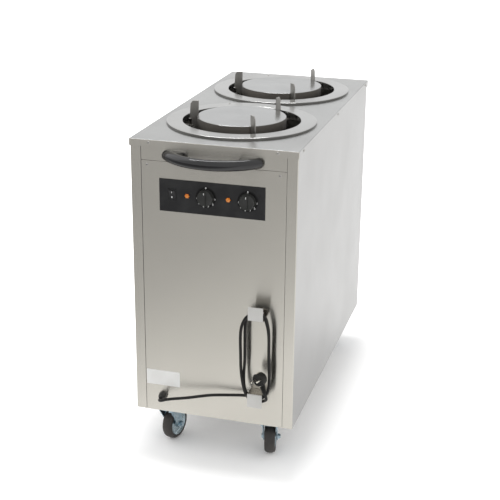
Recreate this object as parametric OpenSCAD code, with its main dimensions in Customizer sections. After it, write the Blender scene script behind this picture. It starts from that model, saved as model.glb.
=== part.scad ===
// Heated double plate dispenser on casters: a stainless cabinet with two
// sprung plate wells, three turning plate guides to each well, and a mains
// lead wound on two hooks at the front. Millimetres, +Z up, front towards -Y.

/* [Cabinet] */
// Width across the side panels
body_w = 474; // [440:1:600]
// Depth from the front face to the back face
body_d = 964; // [960:1:1200]
// Height from the panels' lower edge to the top of the lid
body_h = 822; // [690:1:1000]
// Height of the panels' lower edge above the floor
floor_gap = 128; // [126:0.5:160]
// Thickness of the stainless sheet
sheet = 1.5; // [1:0.1:2]
// Overhang of the lid past the body on every side
lid_over = 3; // [2:0.5:6]
// Height of the lid's skirt
skirt_h = 20; // [16:1:26]
// Width of the side panels' return at the front
return_w = 30; // [24:1:36]
// Gap between two neighbouring front panels
seam = 1; // [0.5:0.1:1.5]
// Depth of the folded edges of the front and back panels
fold = 12; // [8:1:16]
// Drop from the lid's top to the joint between the upper and the lower panel
upper_drop = 58.5; // [57:0.5:66]
// Height of the tray's turned-up edges
tray_h = 25; // [18:1:32]

/* [Wells] */
// Distance from the lid's front edge to the front well's centre
well_front = 277; // [250:1:280]
// Distance from the lid's back edge to the rear well's centre
well_back = 243; // [235:1:246]
// Inside radius of the well's liner
liner_r = 173; // [165:0.5:175]
// Height of the liner's floor above the panels' lower edge
well_floor = 37; // [34:1:45]
// Outer radius of the raised ring
ring_r = 217; // [210:1:221]
// Height of the ring above the lid
ring_h = 6; // [4:0.5:9]
// Depth of the ring's inner lip below the ring's top
ring_lip = 20; // [16:1:22]

/* [Lift] */
// Radius of the platform
platform_r = 128.5; // [110:0.5:129]
// Height of the unloaded platform above the lid
platform_rise = 16.5; // [10:0.5:25]
// Height of the platform's skirt
platform_skirt = 30; // [20:1:40]
// Radius of the platform's rolled edge
platform_edge = 1.6; // [1.5:0.1:4]
// Travel of the platform under a full stack
travel = 500; // [300:5:500]
// Height of the posts between the spider and the platform
post_h = 248; // [230:1:260]
// Radius of the circle that the posts stand on
post_ring = 95; // [80:1:100]
// Radius of the guide rods
rod_r = 5; // [4:0.25:6]
// Radius of the circle that the guide rods stand on
rod_ring = 194; // [192:0.5:196]
// Sideways distance from a guide rod to each of its springs
spring_off = 24; // [22:0.5:26]
// Outer radius of a spring
spring_r = 7; // [6:0.5:8]
// Radius of the spring's wire
wire_r = 1.2; // [1:0.1:1.4]

/* [Plate guides] */
// Height of the guides' tops above the lid
guide_rise = 50; // [40:1:70]
// Radius of the circle of the guides' pivots
guide_ring = 157; // [155:0.5:158]
// Radius of a guide's pivot rod
guide_rod_r = 4; // [3:0.25:4.5]
// Width of the blade, from the pivot's axis to its inner edge
blade_w = 25; // [20:0.5:25]
// Thickness of the blade
blade_t = 3; // [2:0.5:4]
// Angle between the blade and the well's radius at rest
blade_skew = 15; // [5:1:30]

/* [Handle] */
// Radius of the handle's grip
handle_r = 15; // [12:0.5:17]
// Half the distance between the ends of the handle's centre line
handle_half = 132; // [110:1:150]
// Distance from the face to the grip's centre line at mid span
handle_bow = 63; // [52:1:75]
// Drop from the lid's top to the handle's centre line
handle_drop = 40; // [37:0.5:42]
// Radius of the handle's fixing bolts
handle_bolt_r = 4; // [3:0.5:4]

/* [Controls] */
// Width of the control panel
panel_w = 302; // [300:1:320]
// Height of the control panel
panel_h = 93; // [90:1:110]
// Thickness of the control panel
panel_t = 1.5; // [1:0.1:3]
// Drop from the lid's top to the line of the controls
control_drop = 150; // [145:1:170]
// Radius of the dial knobs
knob_r = 23.5; // [18:0.5:25]
// Depth of the dial knobs
knob_h = 18; // [14:0.5:24]
// Radius of the thermostats' spindles
spindle_r = 3; // [2.5:0.25:3.5]
// Radius of the pilot lamps' lenses
lens_r = 6; // [5:0.25:7]

/* [Lead] */
// Diameter of the mains lead
cord_d = 8.5; // [7:0.1:9]
// Distance from the face to the inside of a hook's lip
hook_gap = 40; // [40:0.5:44]
// Width of a cord hook
hook_w = 43; // [36:1:45]
// Height of a cord hook's lip
hook_lip = 40.5; // [34:0.5:44]

/* [Casters] */
// Radius of the wheels over the tyre
wheel_r = 50; // [45:1:52]
// Width of the tyre
tyre_w = 32; // [28:1:38]
// Radius of the rim under the tyre
rim_r = 38; // [34:1:40]
// Radius of the axle
axle_r = 6; // [5:0.25:7]
// Distance from the swivel axis to the axle
trail = 34; // [28:1:38]
// Distance of the swivel axis from the body's side
caster_in_x = 79; // [68:1:90]
// Distance of the swivel axis from the body's front or back
caster_in_y = 50; // [32:1:51]

/* [Clearances] */
// Radial running clearance of pins and rods in their bores
run_fit = 0.06; // [0.02:0.01:0.1]
// Gap between moving faces
move_gap = 0.3; // [0.2:0.1:1]

/* [Hidden] */

// Colours
steel = [0.72, 0.72, 0.71];
bright_steel = [0.82, 0.82, 0.81];
zinc = [0.62, 0.70, 0.76];
black = [0.06, 0.06, 0.06];
amber = [0.95, 0.50, 0.05];

// Lid and body in the row frame
lid_w = body_w + 2 * lid_over;
lid_d = body_d + 2 * lid_over;
handle_out = handle_bow + handle_r - lid_over;
screw_head = 2.2;
lid_y0 = (handle_out - lid_d - screw_head) / 2;
lid_y1 = lid_y0 + lid_d;
face_y = lid_y0 + lid_over;
back_y = lid_y1 - lid_over;
z_low = floor_gap;
z_top = floor_gap + body_h;
z_under = z_top - sheet;
side_in = body_w / 2 - sheet;
front_half = body_w / 2 - return_w;
z_split = z_top - upper_drop;
panel_gap = 2;
top_fold = 15;
low_fold = 18;

// Tray and its cross channels
z_tray = z_low + sheet;
z_tray_top = z_tray + sheet;
z_pan = z_tray_top + 0.3;
tray_end = sheet + fold + 1;
channel_w = 50;
channel_h = 22;

// Screws of the lid, the front and the back; the rows are distances along the faces
screw_r = 1.9;
screw_hole_r = 2;
screw_l = 8;
lid_screw_x = body_w / 2 - 55;
side_screw_y = [face_y + 45.5, (face_y + back_y) / 2, back_y - 45.5];
z_screw = z_top - 8.6;
panel_screw_x = front_half - 18;
z_panel_screw = z_split - 12;
z_back_screws = [z_low + 40, z_top - 80];
lug_half = 8;
lug_in = fold + 0.3;
ring_screw_angle = 117;
ring_screw_r = 206;
ring_screw_hole_r = 1.8;

// Wells
well_y = [lid_y0 + well_front, lid_y1 - well_back];
liner_out = liner_r + sheet;
z_floor = z_low + well_floor;
z_floor_top = z_floor + sheet;
liner_flange = 22;
arm_angles = [0, 120, 240];
guide_angles = [180, 300, 60];
z_ring = z_top + ring_h;
ring_in = liner_r - 2.5;

// Lift
z_platform = z_top + platform_rise;
spider_t = 3;
z_spider = z_platform - sheet - post_h - spider_t;
arm_w = 24;
slot_w = 34;
bar_in = liner_out + 7;
bar_out = rod_ring + 12;
bar_half = spring_off + 10;
bush_r = 8;
bush_flange_r = 11;
bush_flange_t = 3;
bush_down = 10;
z_slot_top = z_spider + spider_t + 1;
z_low_bush = z_spider - travel - bush_down;
z_slot_low = z_spider - travel - 12;
buffer_h = 20;
buffer_r = 12;
z_socket = z_low_bush - move_gap - buffer_h;
hanger_t = 3;
z_hanger = z_top - 18;
stud_hole_r = 2.6;

// Heating elements: open rings of sheathed tube with two ends through the liner's floor
element_ring = 100;
element_r = 4.2;
element_z = z_floor_top + 18;
leg_angles = [-170, -190];
leg_down = 16;

// Plate guides
pivot_bore_r = guide_rod_r + run_fit;
z_boss = z_floor_top + 14;
tab_t = 4;
z_tab = z_ring - ring_lip - 12;
tab_in = guide_ring - 8;
tab_half = 9;
notch = 13;
z_guide = z_floor_top + move_gap;
z_guide_top = z_top + guide_rise;

// Handle
z_handle = z_top - handle_drop;
bow_r = (handle_half * handle_half + handle_bow * handle_bow) / (2 * handle_bow);
bow_angle = asin(handle_half / bow_r);
handle_bolt_x = 108;
foot_x = 84;

// Controls
z_control = z_top - control_drop;
panel_x = -3;
z_panel = z_control - 3;
switch_x = -117;
lamp_x = [-73, 44.5];
knob_x = [-19.5, 99];
switch_hole = [22, 30];
switch_flange = [24, 33];
rocker_size = [18, 26];
rocker_pin_r = 1.5;
rocker_tilt = 8;
thermo_half = 18;
bush_hole_r = 5;
plate_y = face_y - panel_t;
knob_gap = 1;
knob_rim = 2.4;
knob_face = knob_h - 4.5;
knob_face_r = knob_r - 3;
ridge_left = 2;
ridge_right = 3;

// Terminal block and the loom's wires
block = [24, 30, 20];
block_x = -192;
block_y = face_y + tray_end + channel_w + 3;
loom_r = 3;
wire_x = [-128, -136, -144, -152];

// Lead: hooks, gland and route
hook_x = 135;
hook_t = 2;
z_hook_hi = 469.5;
z_hook_lo = 244;
hook_foot = 22;
hook_screw_x = [hook_x - 10, hook_x + 10];
hook_screw_z = [z_hook_hi + hook_foot / 2, z_hook_lo - hook_foot / 2];
gland_x = -154;
gland_z = 180;
gland_out = 24;
gland_neck_r = 9.5;
gland_in = 12;
gland_hex_r = 13;
gland_nut_h = 5;
cord_r = cord_d / 2;
cord_sides = 10;
// Route points: [x, distance in front of the face, z]
lead_out = [
  [-154, 24, 180], [-154, 33, 180], [-149.5, 42, 183], [-140, 48, 188], [-126, 49, 193.5],
  [-105, 46.5, 198], [-87, 43.5, 200.5], [-58, 39, 205.5], [-29, 34, 211.5], [0, 29.5, 217],
  [28, 25.5, 220], [57, 22, 222.5], [85, 19, 225], [108, 17.5, 226]];
// First turn: under the lower hook's arm, up the right side, over the upper arm and down
turn_one = [
  [124, 17.5, 226], [138, 17.5, 227], [151, 17.5, 230.5], [161, 18, 238.5], [167.5, 18.5, 250],
  [171, 19.5, 268], [172, 20.5, 297], [171, 22, 335], [170.5, 23.5, 375], [170.5, 24.5, 410],
  [169.5, 25, 436], [165.5, 25, 458], [160, 25, 476], [147, 25, 485], [134, 25, 487.5],
  [120, 25, 483.5], [108.5, 25, 473], [102.5, 25, 455], [101, 25, 430], [101, 25, 385],
  [101, 25.5, 340], [99, 25.5, 300], [99.5, 26, 270], [103, 26.5, 250], [110, 26.5, 235]];
turn_two = [
  [121, 26.5, 225.5], [135, 26.5, 222.5], [149, 26.5, 226.5], [161, 27, 237], [169.5, 28, 253],
  [173.5, 29, 275], [174.5, 30.5, 305], [173, 31.5, 340], [172.5, 32.5, 380],
  [172.5, 33.5, 415], [170.5, 34, 441], [166, 34.5, 463], [158, 34.5, 480.5],
  [143, 34.5, 488.5], [130, 34.5, 489], [116.5, 34.5, 483.5], [105, 34.5, 472.5],
  [96.5, 34.5, 455], [91.5, 34.5, 432], [90.5, 34.5, 400], [91.5, 35, 365], [92.5, 35, 325],
  [95, 35, 295], [100, 35.5, 266], [107, 35.5, 242], [117, 35.5, 228]];
lead_end = [
  [130, 35.5, 221], [143, 35.5, 221], [153, 35.5, 222.5], [161, 35.8, 226], [167, 39, 231],
  [170.3, 44, 237.5], [170.3, 48.5, 244.5], [168.6, 50.2, 251], [166.5, 49.5, 257]];
route = concat(lead_out, turn_one, turn_two, lead_end);

// Plug: the lead enters it from below, and the pins point forwards and to the left
plug_turn = -20;
plug_tilt = 20;
plug_up = 44;
plug_relief = 28;
plug_r = 19;
plug_deep = 24;
pin_r = 2.4;
pin_l = 19;
pin_in = 10;
pin_off = 9.5;
clip_w = 5;
clip_t = 1.5;

// Casters: [side, end, swivel angle at rest]
casters = [[-1, -1, -13], [1, -1, 11], [-1, 1, 188], [1, 1, 173]];
hub_w = tyre_w + 3;
fork_gap = hub_w + 3;
leg_t = 3;
crown_r = 33;
crown_t = 4;
head_t = 7;
z_head = z_tray - head_t;
z_crown = z_head - move_gap - crown_t;
king_r = 6;
king_head_r = 11;
king_nut_r = 11;
king_nut_h = 9;
axle_nut_r = 8.5;
axle_nut_h = 5.5;
axle_head_h = 4.5;

// ---------- shared shapes ----------

// Closed tube of one radius through a list of points
function unit(v) = v / norm(v);
function tangent(p, i) = unit(p[min(i + 1, len(p) - 1)] - p[max(i - 1, 0)]);
function carry(n, t) = unit(n - t * (n * t));
function normals(p, i, n) = i >= len(p) ? [] :
  let (m = carry(n, tangent(p, i))) concat([m], normals(p, i + 1, m));
module swept_tube(p, r, sides, first) {
  n = normals(p, 0, first);
  rings = [for (i = [0 : len(p) - 1]) let (t = tangent(p, i), b = cross(t, n[i]))
    for (k = [0 : sides - 1]) p[i] + r * (cos(360 * k / sides) * n[i] + sin(360 * k / sides) * b)];
  last = (len(p) - 1) * sides;
  walls = [for (i = [0 : len(p) - 2]) for (k = [0 : sides - 1])
    [i * sides + k, (i + 1) * sides + k, (i + 1) * sides + (k + 1) % sides, i * sides + (k + 1) % sides]];
  caps = [[for (k = [0 : sides - 1]) k], [for (k = [sides - 1 : -1 : 0]) last + k]];
  polyhedron(points = rings, faces = concat(walls, caps), convexity = 10);
}

// Cylinder along +Y from y = a to y = b
module rod_y(r, a, b, fn = 48) {
  translate([0, b, 0])
    rotate([90, 0, 0])
      cylinder(r = r, h = b - a, $fn = fn);
}

// Pan-head screw whose head stands on the plane z = 0
module pan_screw(head_r, head_h, shank_r, shank_l) {
  rotate_extrude($fn = 32)
    polygon([[0, head_h], [head_r * 0.62, head_h], [head_r, head_h * 0.45], [head_r, 0],
      [shank_r, 0], [shank_r, -shank_l], [0, -shank_l]]);
}

module at_well(i) {
  translate([0, well_y[i], 0])
    children();
}

module at_arms() {
  for (a = arm_angles)
    rotate([0, 0, a])
      children();
}

// ---------- cabinet ----------

module base_tray() {
  w = 2 * side_in - 0.4;
  y0 = face_y + tray_end;
  y1 = back_y - tray_end;
  color(steel)
    difference() {
      union() {
        translate([-w / 2, face_y + sheet + 0.2, z_tray])
          cube([w, body_d - 2 * sheet - 0.4, sheet]);
        for (s = [-1, 1])
          translate([s * (w / 2 - sheet / 2) - sheet / 2, y0, z_tray])
            cube([sheet, y1 - y0, tray_h]);
        for (y = [y0, y1 - sheet])
          translate([-w / 2, y, z_tray])
            cube([w, sheet, tray_h]);
        for (s = [-1, 1]) {
          cy = s < 0 ? y0 : y1 - channel_w;
          translate([-w / 2, cy, z_tray])
            cube([w, channel_w, channel_h]);
        }
        for (i = [0, 1])
          at_well(i)
            at_arms()
              translate([rod_ring, 0, z_tray])
                cylinder(r = buffer_r, h = z_socket - z_tray, $fn = 40);
      }
      for (s = [-1, 1]) {
        cy = s < 0 ? y0 : y1 - channel_w;
        translate([-w, cy + sheet, z_tray + sheet])
          cube([2 * w, channel_w - 2 * sheet, channel_h - 2 * sheet]);
      }
      for (i = [0, 1])
        at_well(i)
          at_arms()
            translate([rod_ring, 0, z_tray_top])
              cylinder(r = rod_r + run_fit, h = body_h, $fn = 40);
      for (c = casters)
        at_caster(c)
          translate([0, 0, z_tray - 1])
            cylinder(r = king_r + 0.2, h = channel_h + 2, $fn = 40);
      for (x = [-90 : 30 : 90])
        translate([x - 4, -60, z_tray - 1])
          cube([8, 90, sheet + 2]);
    }
}

// One side panel, on the side s = -1 or 1, with folds at the front, back, top and bottom
module side_panel(s) {
  color(steel)
    mirror([s < 0 ? 1 : 0, 0, 0])
      difference() {
        union() {
          translate([side_in, face_y, z_low])
            cube([sheet, body_d, z_under - z_low]);
          translate([front_half, face_y, z_low])
            cube([return_w, sheet, z_under - z_low]);
          translate([front_half, back_y - sheet, z_low])
            cube([return_w, sheet, z_under - z_low]);
          translate([body_w / 2 - low_fold, face_y, z_low])
            cube([low_fold, body_d, sheet]);
          translate([body_w / 2 - top_fold, face_y + 2, z_under - sheet])
            cube([top_fold, body_d - 4, sheet]);
          screw_lug(face_y + lug_in, z_panel_screw);
          for (z = z_back_screws)
            screw_lug(back_y - lug_in - sheet, z);
        }
        for (y = side_screw_y)
          translate([side_in - 1, y, z_screw])
            rotate([0, 90, 0])
              cylinder(r = screw_hole_r, h = sheet + 2, $fn = 24);
        translate([panel_screw_x, 0, z_panel_screw])
          rod_y(screw_hole_r, face_y + fold, face_y + fold + 4, 24);
        for (z = z_back_screws)
          translate([panel_screw_x, 0, z])
            rod_y(screw_hole_r, back_y - fold - 4, back_y - fold, 24);
      }
}

// Tab welded inside a side panel, behind a front or back panel's screw
module screw_lug(y, z) {
  x0 = panel_screw_x - lug_half;
  translate([x0, y, z - lug_half])
    cube([side_in + sheet / 2 - x0, sheet, 2 * lug_half]);
}

// Folded pan between the side panels' returns, its face on y = 0 towards -Y from z0 to z1,
// its folds from zf to z1
module pan(z0, z1, zf) {
  hw = front_half - seam;
  difference() {
    union() {
      translate([-hw, 0, z0])
        cube([2 * hw, sheet, z1 - z0]);
      translate([-hw, 0, zf])
        cube([2 * hw, fold, z1 - zf]);
    }
    translate([-hw + sheet, sheet, zf + sheet])
      cube([2 * hw - 2 * sheet, fold, z1 - zf - 2 * sheet]);
  }
}

module back_panel() {
  slot_z = z_low + 60;
  color(steel)
    difference() {
      translate([0, back_y, 0])
        mirror([0, 1, 0])
          pan(z_low + seam, z_under - panel_gap, z_pan);
      for (s = [-1, 1]) {
        translate([s * lid_screw_x, 0, z_screw])
          rod_y(screw_hole_r, back_y - sheet - 1, back_y + 1, 24);
        for (z = z_back_screws)
          translate([s * panel_screw_x, 0, z])
            rod_y(screw_hole_r, back_y - sheet - 1, back_y + 1, 24);
      }
      for (x = [-150 : 25 : 150])
        for (row = [0, 1])
          translate([x, 0, slot_z + row * 560]) {
            rod_y(2.5, back_y - 2 * sheet, back_y + 1, 24);
            translate([-2.5, back_y - 2 * sheet, 0])
              cube([5, 3 * sheet, 40]);
            translate([0, 0, 40])
              rod_y(2.5, back_y - 2 * sheet, back_y + 1, 24);
          }
    }
}

module upper_front_panel() {
  color(steel)
    difference() {
      translate([0, face_y, 0])
        pan(z_split, z_under - panel_gap, z_split);
      for (x = [-handle_bolt_x, handle_bolt_x])
        translate([x, 0, z_handle])
          rod_y(handle_bolt_r + 0.2, face_y - 1, face_y + sheet + 1, 40);
      for (x = [-lid_screw_x, lid_screw_x])
        translate([x, 0, z_screw])
          rod_y(screw_hole_r, face_y - 1, face_y + sheet + 1, 24);
    }
}

module access_panel() {
  color(steel)
    difference() {
      translate([0, face_y, 0])
        pan(z_low + seam, z_split - seam, z_pan);
      translate([switch_x - switch_hole[0] / 2, face_y - 1, z_control - switch_hole[1] / 2])
        cube([switch_hole[0], sheet + 2, switch_hole[1]]);
      for (x = lamp_x)
        translate([x, 0, z_control])
          rod_y(lens_r - 0.8, face_y - 1, face_y + sheet + 1, 40);
      for (x = knob_x)
        translate([x, 0, z_control])
          rod_y(bush_hole_r, face_y - 1, face_y + sheet + 1, 40);
      translate([gland_x, 0, gland_z])
        rod_y(gland_neck_r + 0.2, face_y - 1, face_y + sheet + 1, 40);
      for (x = [-panel_screw_x, panel_screw_x])
        translate([x, 0, z_panel_screw])
          rod_y(screw_hole_r, face_y - 1, face_y + sheet + 1, 24);
      for (z = hook_screw_z)
        for (x = hook_screw_x)
          translate([x, 0, z])
            rod_y(screw_hole_r, face_y - 1, face_y + sheet + 1, 24);
    }
}

module lid_top() {
  color(steel)
    difference() {
      translate([-lid_w / 2, lid_y0, z_top - skirt_h])
        cube([lid_w, lid_d, skirt_h]);
      translate([-lid_w / 2 + sheet, lid_y0 + sheet, z_top - skirt_h - 1])
        cube([lid_w - 2 * sheet, lid_d - 2 * sheet, skirt_h + 1 - sheet]);
      for (i = [0, 1])
        at_well(i)
          translate([0, 0, z_under - 1])
            cylinder(r = liner_out, h = sheet + 2, $fn = 120);
      for (x = [-lid_screw_x, lid_screw_x])
        translate([x, 0, z_screw])
          rod_y(screw_hole_r, lid_y0 - 1, lid_y1 + 1, 24);
      for (y = side_screw_y)
        translate([-lid_w / 2 - 1, y, z_screw])
          rotate([0, 90, 0])
            cylinder(r = screw_hole_r, h = lid_w + 2, $fn = 24);
      for (i = [0, 1])
        at_well(i)
          rotate([0, 0, ring_screw_angle])
            translate([ring_screw_r, 0, z_under - 1])
              cylinder(r = ring_screw_hole_r, h = sheet + 2, $fn = 24);
    }
}

// ---------- wells ----------

module well_ring(i) {
  color(bright_steel)
    at_well(i)
      difference() {
        rotate_extrude($fn = 128)
          polygon([[ring_in, z_ring - 1], [ring_in + 1, z_ring], [ring_r - 6, z_ring],
            [ring_r - 2.5, z_ring - 1], [ring_r - 0.6, z_ring - 3], [ring_r, z_top],
            [ring_r - sheet, z_top], [ring_r - 2.2, z_ring - 3.6], [ring_r - 6, z_ring - sheet],
            [ring_in + sheet, z_ring - sheet], [ring_in + sheet, z_ring - ring_lip],
            [ring_in, z_ring - ring_lip]]);
        rotate([0, 0, ring_screw_angle])
          translate([ring_screw_r, 0, z_top])
            cylinder(r = ring_screw_hole_r, h = ring_h + 1, $fn = 24);
      }
}

module well_liner(i) {
  color(steel)
    at_well(i)
      difference() {
        union() {
          rotate_extrude($fn = 128)
            polygon([[0, z_floor], [liner_out, z_floor], [liner_out, z_under - sheet],
              [liner_out + liner_flange, z_under - sheet], [liner_out + liner_flange, z_under],
              [liner_r, z_under], [liner_r, z_floor_top], [0, z_floor_top]]);
          at_arms()
            difference() {
              translate([liner_r + 0.5, -bar_half, z_hanger])
                cube([bar_out - liner_r - 0.5, 2 * bar_half, hanger_t]);
              translate([0, 0, z_hanger - 1])
                cylinder(r = liner_r + 0.7, h = hanger_t + 2, $fn = 128);
            }
          for (a = guide_angles)
            rotate([0, 0, a]) {
              translate([guide_ring, 0, z_floor + sheet / 2])
                cylinder(r = guide_rod_r + 5, h = z_boss - z_floor - sheet / 2, $fn = 40);
              translate([tab_in, -tab_half, z_tab])
                cube([liner_r + 0.7 - tab_in, 2 * tab_half, tab_t]);
            }
        }
        at_arms() {
          translate([liner_r - 20, -slot_w / 2, z_slot_low])
            cube([40, slot_w, z_slot_top - z_slot_low]);
          translate([rod_ring, 0, z_hanger - 1])
            cylinder(r = rod_r + run_fit, h = hanger_t + 2, $fn = 40);
          for (y = [-spring_off, spring_off])
            translate([rod_ring, y, z_hanger - 1])
              cylinder(r = stud_hole_r, h = hanger_t + 2, $fn = 24);
        }
        for (a = guide_angles)
          rotate([0, 0, a])
            translate([guide_ring, 0, z_floor_top])
              cylinder(r = pivot_bore_r, h = z_top, $fn = 40);
        for (a = leg_angles)
          rotate([0, 0, a])
            translate([element_ring, 0, z_floor - 1])
              cylinder(r = element_r + 0.8, h = sheet + 2, $fn = 24);
        for (a = [0 : 45 : 315])
          rotate([0, 0, a])
            translate([50, 0, z_floor - 1])
              cylinder(r = 6, h = sheet + 2, $fn = 24);
      }
}

module guide_rods() {
  color(bright_steel)
    for (i = [0, 1])
      at_well(i)
        at_arms()
          translate([rod_ring, 0, z_tray_top])
            cylinder(r = rod_r, h = z_under - sheet - z_tray_top, $fn = 40);
}

module stop_buffers() {
  color(black)
    for (i = [0, 1])
      at_well(i)
        at_arms()
          translate([rod_ring, 0, z_socket])
            difference() {
              cylinder(r = buffer_r, h = buffer_h, $fn = 40);
              translate([0, 0, -1])
                cylinder(r = rod_r + 0.3, h = buffer_h + 2, $fn = 40);
            }
}

module heating_elements() {
  color([0.35, 0.33, 0.31])
    for (i = [0, 1])
      at_well(i) {
        rotate([0, 0, leg_angles[0]])
          translate([0, 0, element_z])
            rotate_extrude(angle = 340, $fn = 96)
              translate([element_ring, 0])
                circle(r = element_r, $fn = 24);
        for (a = leg_angles)
          rotate([0, 0, a])
            translate([element_ring, 0, 0]) {
              translate([0, 0, z_floor - leg_down])
                cylinder(r = element_r, h = element_z - z_floor + leg_down, $fn = 24);
              translate([0, 0, z_floor_top])
                cylinder(r = 8, h = 5, $fn = 40);
              translate([0, 0, element_z])
                sphere(r = element_r, $fn = 24);
            }
      }
}

// ---------- lift ----------

module platform(i) {
  r = platform_r;
  e = platform_edge;
  color(bright_steel)
    at_well(i)
      translate([0, 0, z_platform])
        rotate_extrude($fn = 128)
          polygon([[0, 0], [r - e, 0], [r - 0.3 * e, -0.3 * e], [r, -e], [r, -platform_skirt],
            [r - sheet, -platform_skirt], [r - sheet, -e], [r - e, -sheet], [0, -sheet]]);
}

module carrier(i) {
  color(steel)
    at_well(i) {
      difference() {
        translate([0, 0, z_spider])
          linear_extrude(spider_t) {
            circle(r = post_ring - 25, $fn = 64);
            at_arms() {
              translate([0, -arm_w / 2])
                square([bar_out, arm_w]);
              translate([bar_in, -bar_half])
                square([bar_out - bar_in, 2 * bar_half]);
              translate([post_ring, 0])
                circle(r = 18, $fn = 40);
            }
          }
        at_arms() {
          translate([rod_ring, 0, z_spider - 1])
            cylinder(r = bush_r + 0.02, h = spider_t + 2, $fn = 40);
          for (y = [-spring_off, spring_off])
            translate([rod_ring, y, z_spider - 1])
              cylinder(r = stud_hole_r, h = spider_t + 2, $fn = 24);
        }
      }
      at_arms()
        translate([post_ring, 0, z_spider + spider_t / 2]) {
          cylinder(r = 7, h = post_h + spider_t / 2, $fn = 32);
          translate([0, 0, post_h + spider_t / 2 - 3])
            cylinder(r = 14, h = 3, $fn = 32);
        }
    }
}

module slide_bushes(i) {
  color([0.9, 0.9, 0.86])
    at_well(i)
      at_arms()
        translate([rod_ring, 0, z_spider])
          rotate_extrude($fn = 40)
            polygon([[rod_r + run_fit, -bush_down], [bush_r, -bush_down], [bush_r, spider_t],
              [bush_flange_r, spider_t], [bush_flange_r, spider_t + bush_flange_t],
              [rod_r + run_fit, spider_t + bush_flange_t]]);
}

// Extension springs, drawn as close-wound tubes with a threaded stud and nut at each end
module lift_springs(i) {
  z0 = z_spider + spider_t;
  z1 = z_hanger;
  stem = 14;
  nut_r = 5;
  nut_h = 4;
  past = spider_t + move_gap;
  color([0.55, 0.56, 0.58])
    at_well(i)
      at_arms()
        for (y = [-spring_off, spring_off])
          translate([rod_ring, y, 0])
            rotate_extrude($fn = 32)
              polygon([[0, z0 - past - nut_h], [nut_r, z0 - past - nut_h], [nut_r, z0 - past],
                [wire_r, z0 - past], [wire_r, z0 + stem], [spring_r, z0 + stem],
                [spring_r, z1 - stem], [wire_r, z1 - stem], [wire_r, z1 + hanger_t + move_gap],
                [nut_r, z1 + hanger_t + move_gap], [nut_r, z1 + hanger_t + move_gap + nut_h],
                [0, z1 + hanger_t + move_gap + nut_h]]);
}

// Plate guide: a pivot rod with a blade that points towards the well's centre
module plate_guide(i, a) {
  low_in = 6;
  color(bright_steel)
    at_well(i)
      rotate([0, 0, a])
        translate([guide_ring, 0, 0])
          rotate([0, 0, 180 + blade_skew]) {
            translate([0, 0, z_guide])
              cylinder(r = guide_rod_r, h = z_ring - 8 - z_guide, $fn = 32);
            difference() {
              rotate([90, 0, 0])
                translate([0, 0, -blade_t / 2])
                  linear_extrude(blade_t)
                    polygon([[0, z_boss + low_in], [blade_w, z_boss + low_in],
                      [blade_w, z_guide_top], [7, z_guide_top], [1, z_guide_top - 8],
                      [-2, z_ring - 8], [0, z_ring - 30]]);
              translate([-notch, -notch, z_tab - move_gap])
                cube([2 * notch, 2 * notch, tab_t + 2 * move_gap]);
            }
            translate([0, 0, z_tab - 2])
              cylinder(r = guide_rod_r, h = tab_t + 4, $fn = 32);
          }
}

// ---------- controls ----------

module control_panel() {
  color(black)
    difference() {
      translate([panel_x - panel_w / 2, plate_y, z_panel - panel_h / 2])
        cube([panel_w, panel_t, panel_h]);
      translate([switch_x - switch_hole[0] / 2, plate_y - 1, z_control - switch_hole[1] / 2])
        cube([switch_hole[0], panel_t + 2, switch_hole[1]]);
      for (x = lamp_x)
        translate([x, 0, z_control])
          rod_y(lens_r - 0.8, plate_y - 1, face_y + 1, 40);
      for (x = knob_x)
        translate([x, 0, z_control])
          rod_y(bush_hole_r, plate_y - 1, face_y + 1, 40);
    }
}

module switch_housing() {
  body = [switch_hole[0] - 0.4, 26, switch_hole[1] - 0.4];
  cavity = [rocker_size[0] + 0.8, rocker_size[1] + 1.6];
  color(black)
    translate([switch_x, plate_y, z_control])
      difference() {
        union() {
          translate([-switch_flange[0] / 2, -2, -switch_flange[1] / 2])
            cube([switch_flange[0], 2, switch_flange[1]]);
          translate([-body[0] / 2, -1, -body[2] / 2])
            cube([body[0], body[1], body[2]]);
        }
        translate([-cavity[0] / 2, -3, -cavity[1] / 2])
          cube([cavity[0], 12, cavity[1]]);
        translate([-10.4, 0, 0])
          rotate([0, 90, 0])
            cylinder(r = rocker_pin_r + run_fit, h = 20.8, $fn = 24);
      }
}

module switch_rocker() {
  hz = rocker_size[1] / 2;
  color([0.1, 0.1, 0.1])
    translate([switch_x, plate_y, z_control])
      rotate([rocker_tilt, 0, 0]) {
        rotate([90, 0, 90])
          translate([0, 0, -rocker_size[0] / 2])
            linear_extrude(rocker_size[0])
              polygon([[-2, 0], [-3.4, -hz], [4, -hz + 1], [6, 0], [4, hz - 1], [-3.4, hz]]);
        translate([-10, 0, 0])
          rotate([0, 90, 0])
            cylinder(r = rocker_pin_r, h = 20, $fn = 24);
      }
}

module lamp_bezels() {
  color([0.12, 0.12, 0.12])
    for (x = lamp_x)
      translate([x, plate_y, z_control])
        rotate([90, 0, 0])
          rotate_extrude($fn = 40)
            polygon([[lens_r, 0], [lens_r + 2, 0], [lens_r + 2, 1.4], [lens_r + 1.3, 2.2],
              [lens_r, 2.2]]);
}

module lamp_lenses() {
  color(amber)
    for (x = lamp_x)
      translate([x, plate_y, z_control])
        rotate([90, 0, 0])
          rotate_extrude($fn = 40)
            polygon([[0, -22], [lens_r - 1, -22], [lens_r - 1, 0], [lens_r - 0.05, 0],
              [lens_r - 0.05, 3], [lens_r - 1.6, 4.8], [0, 5.4]]);
}

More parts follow.
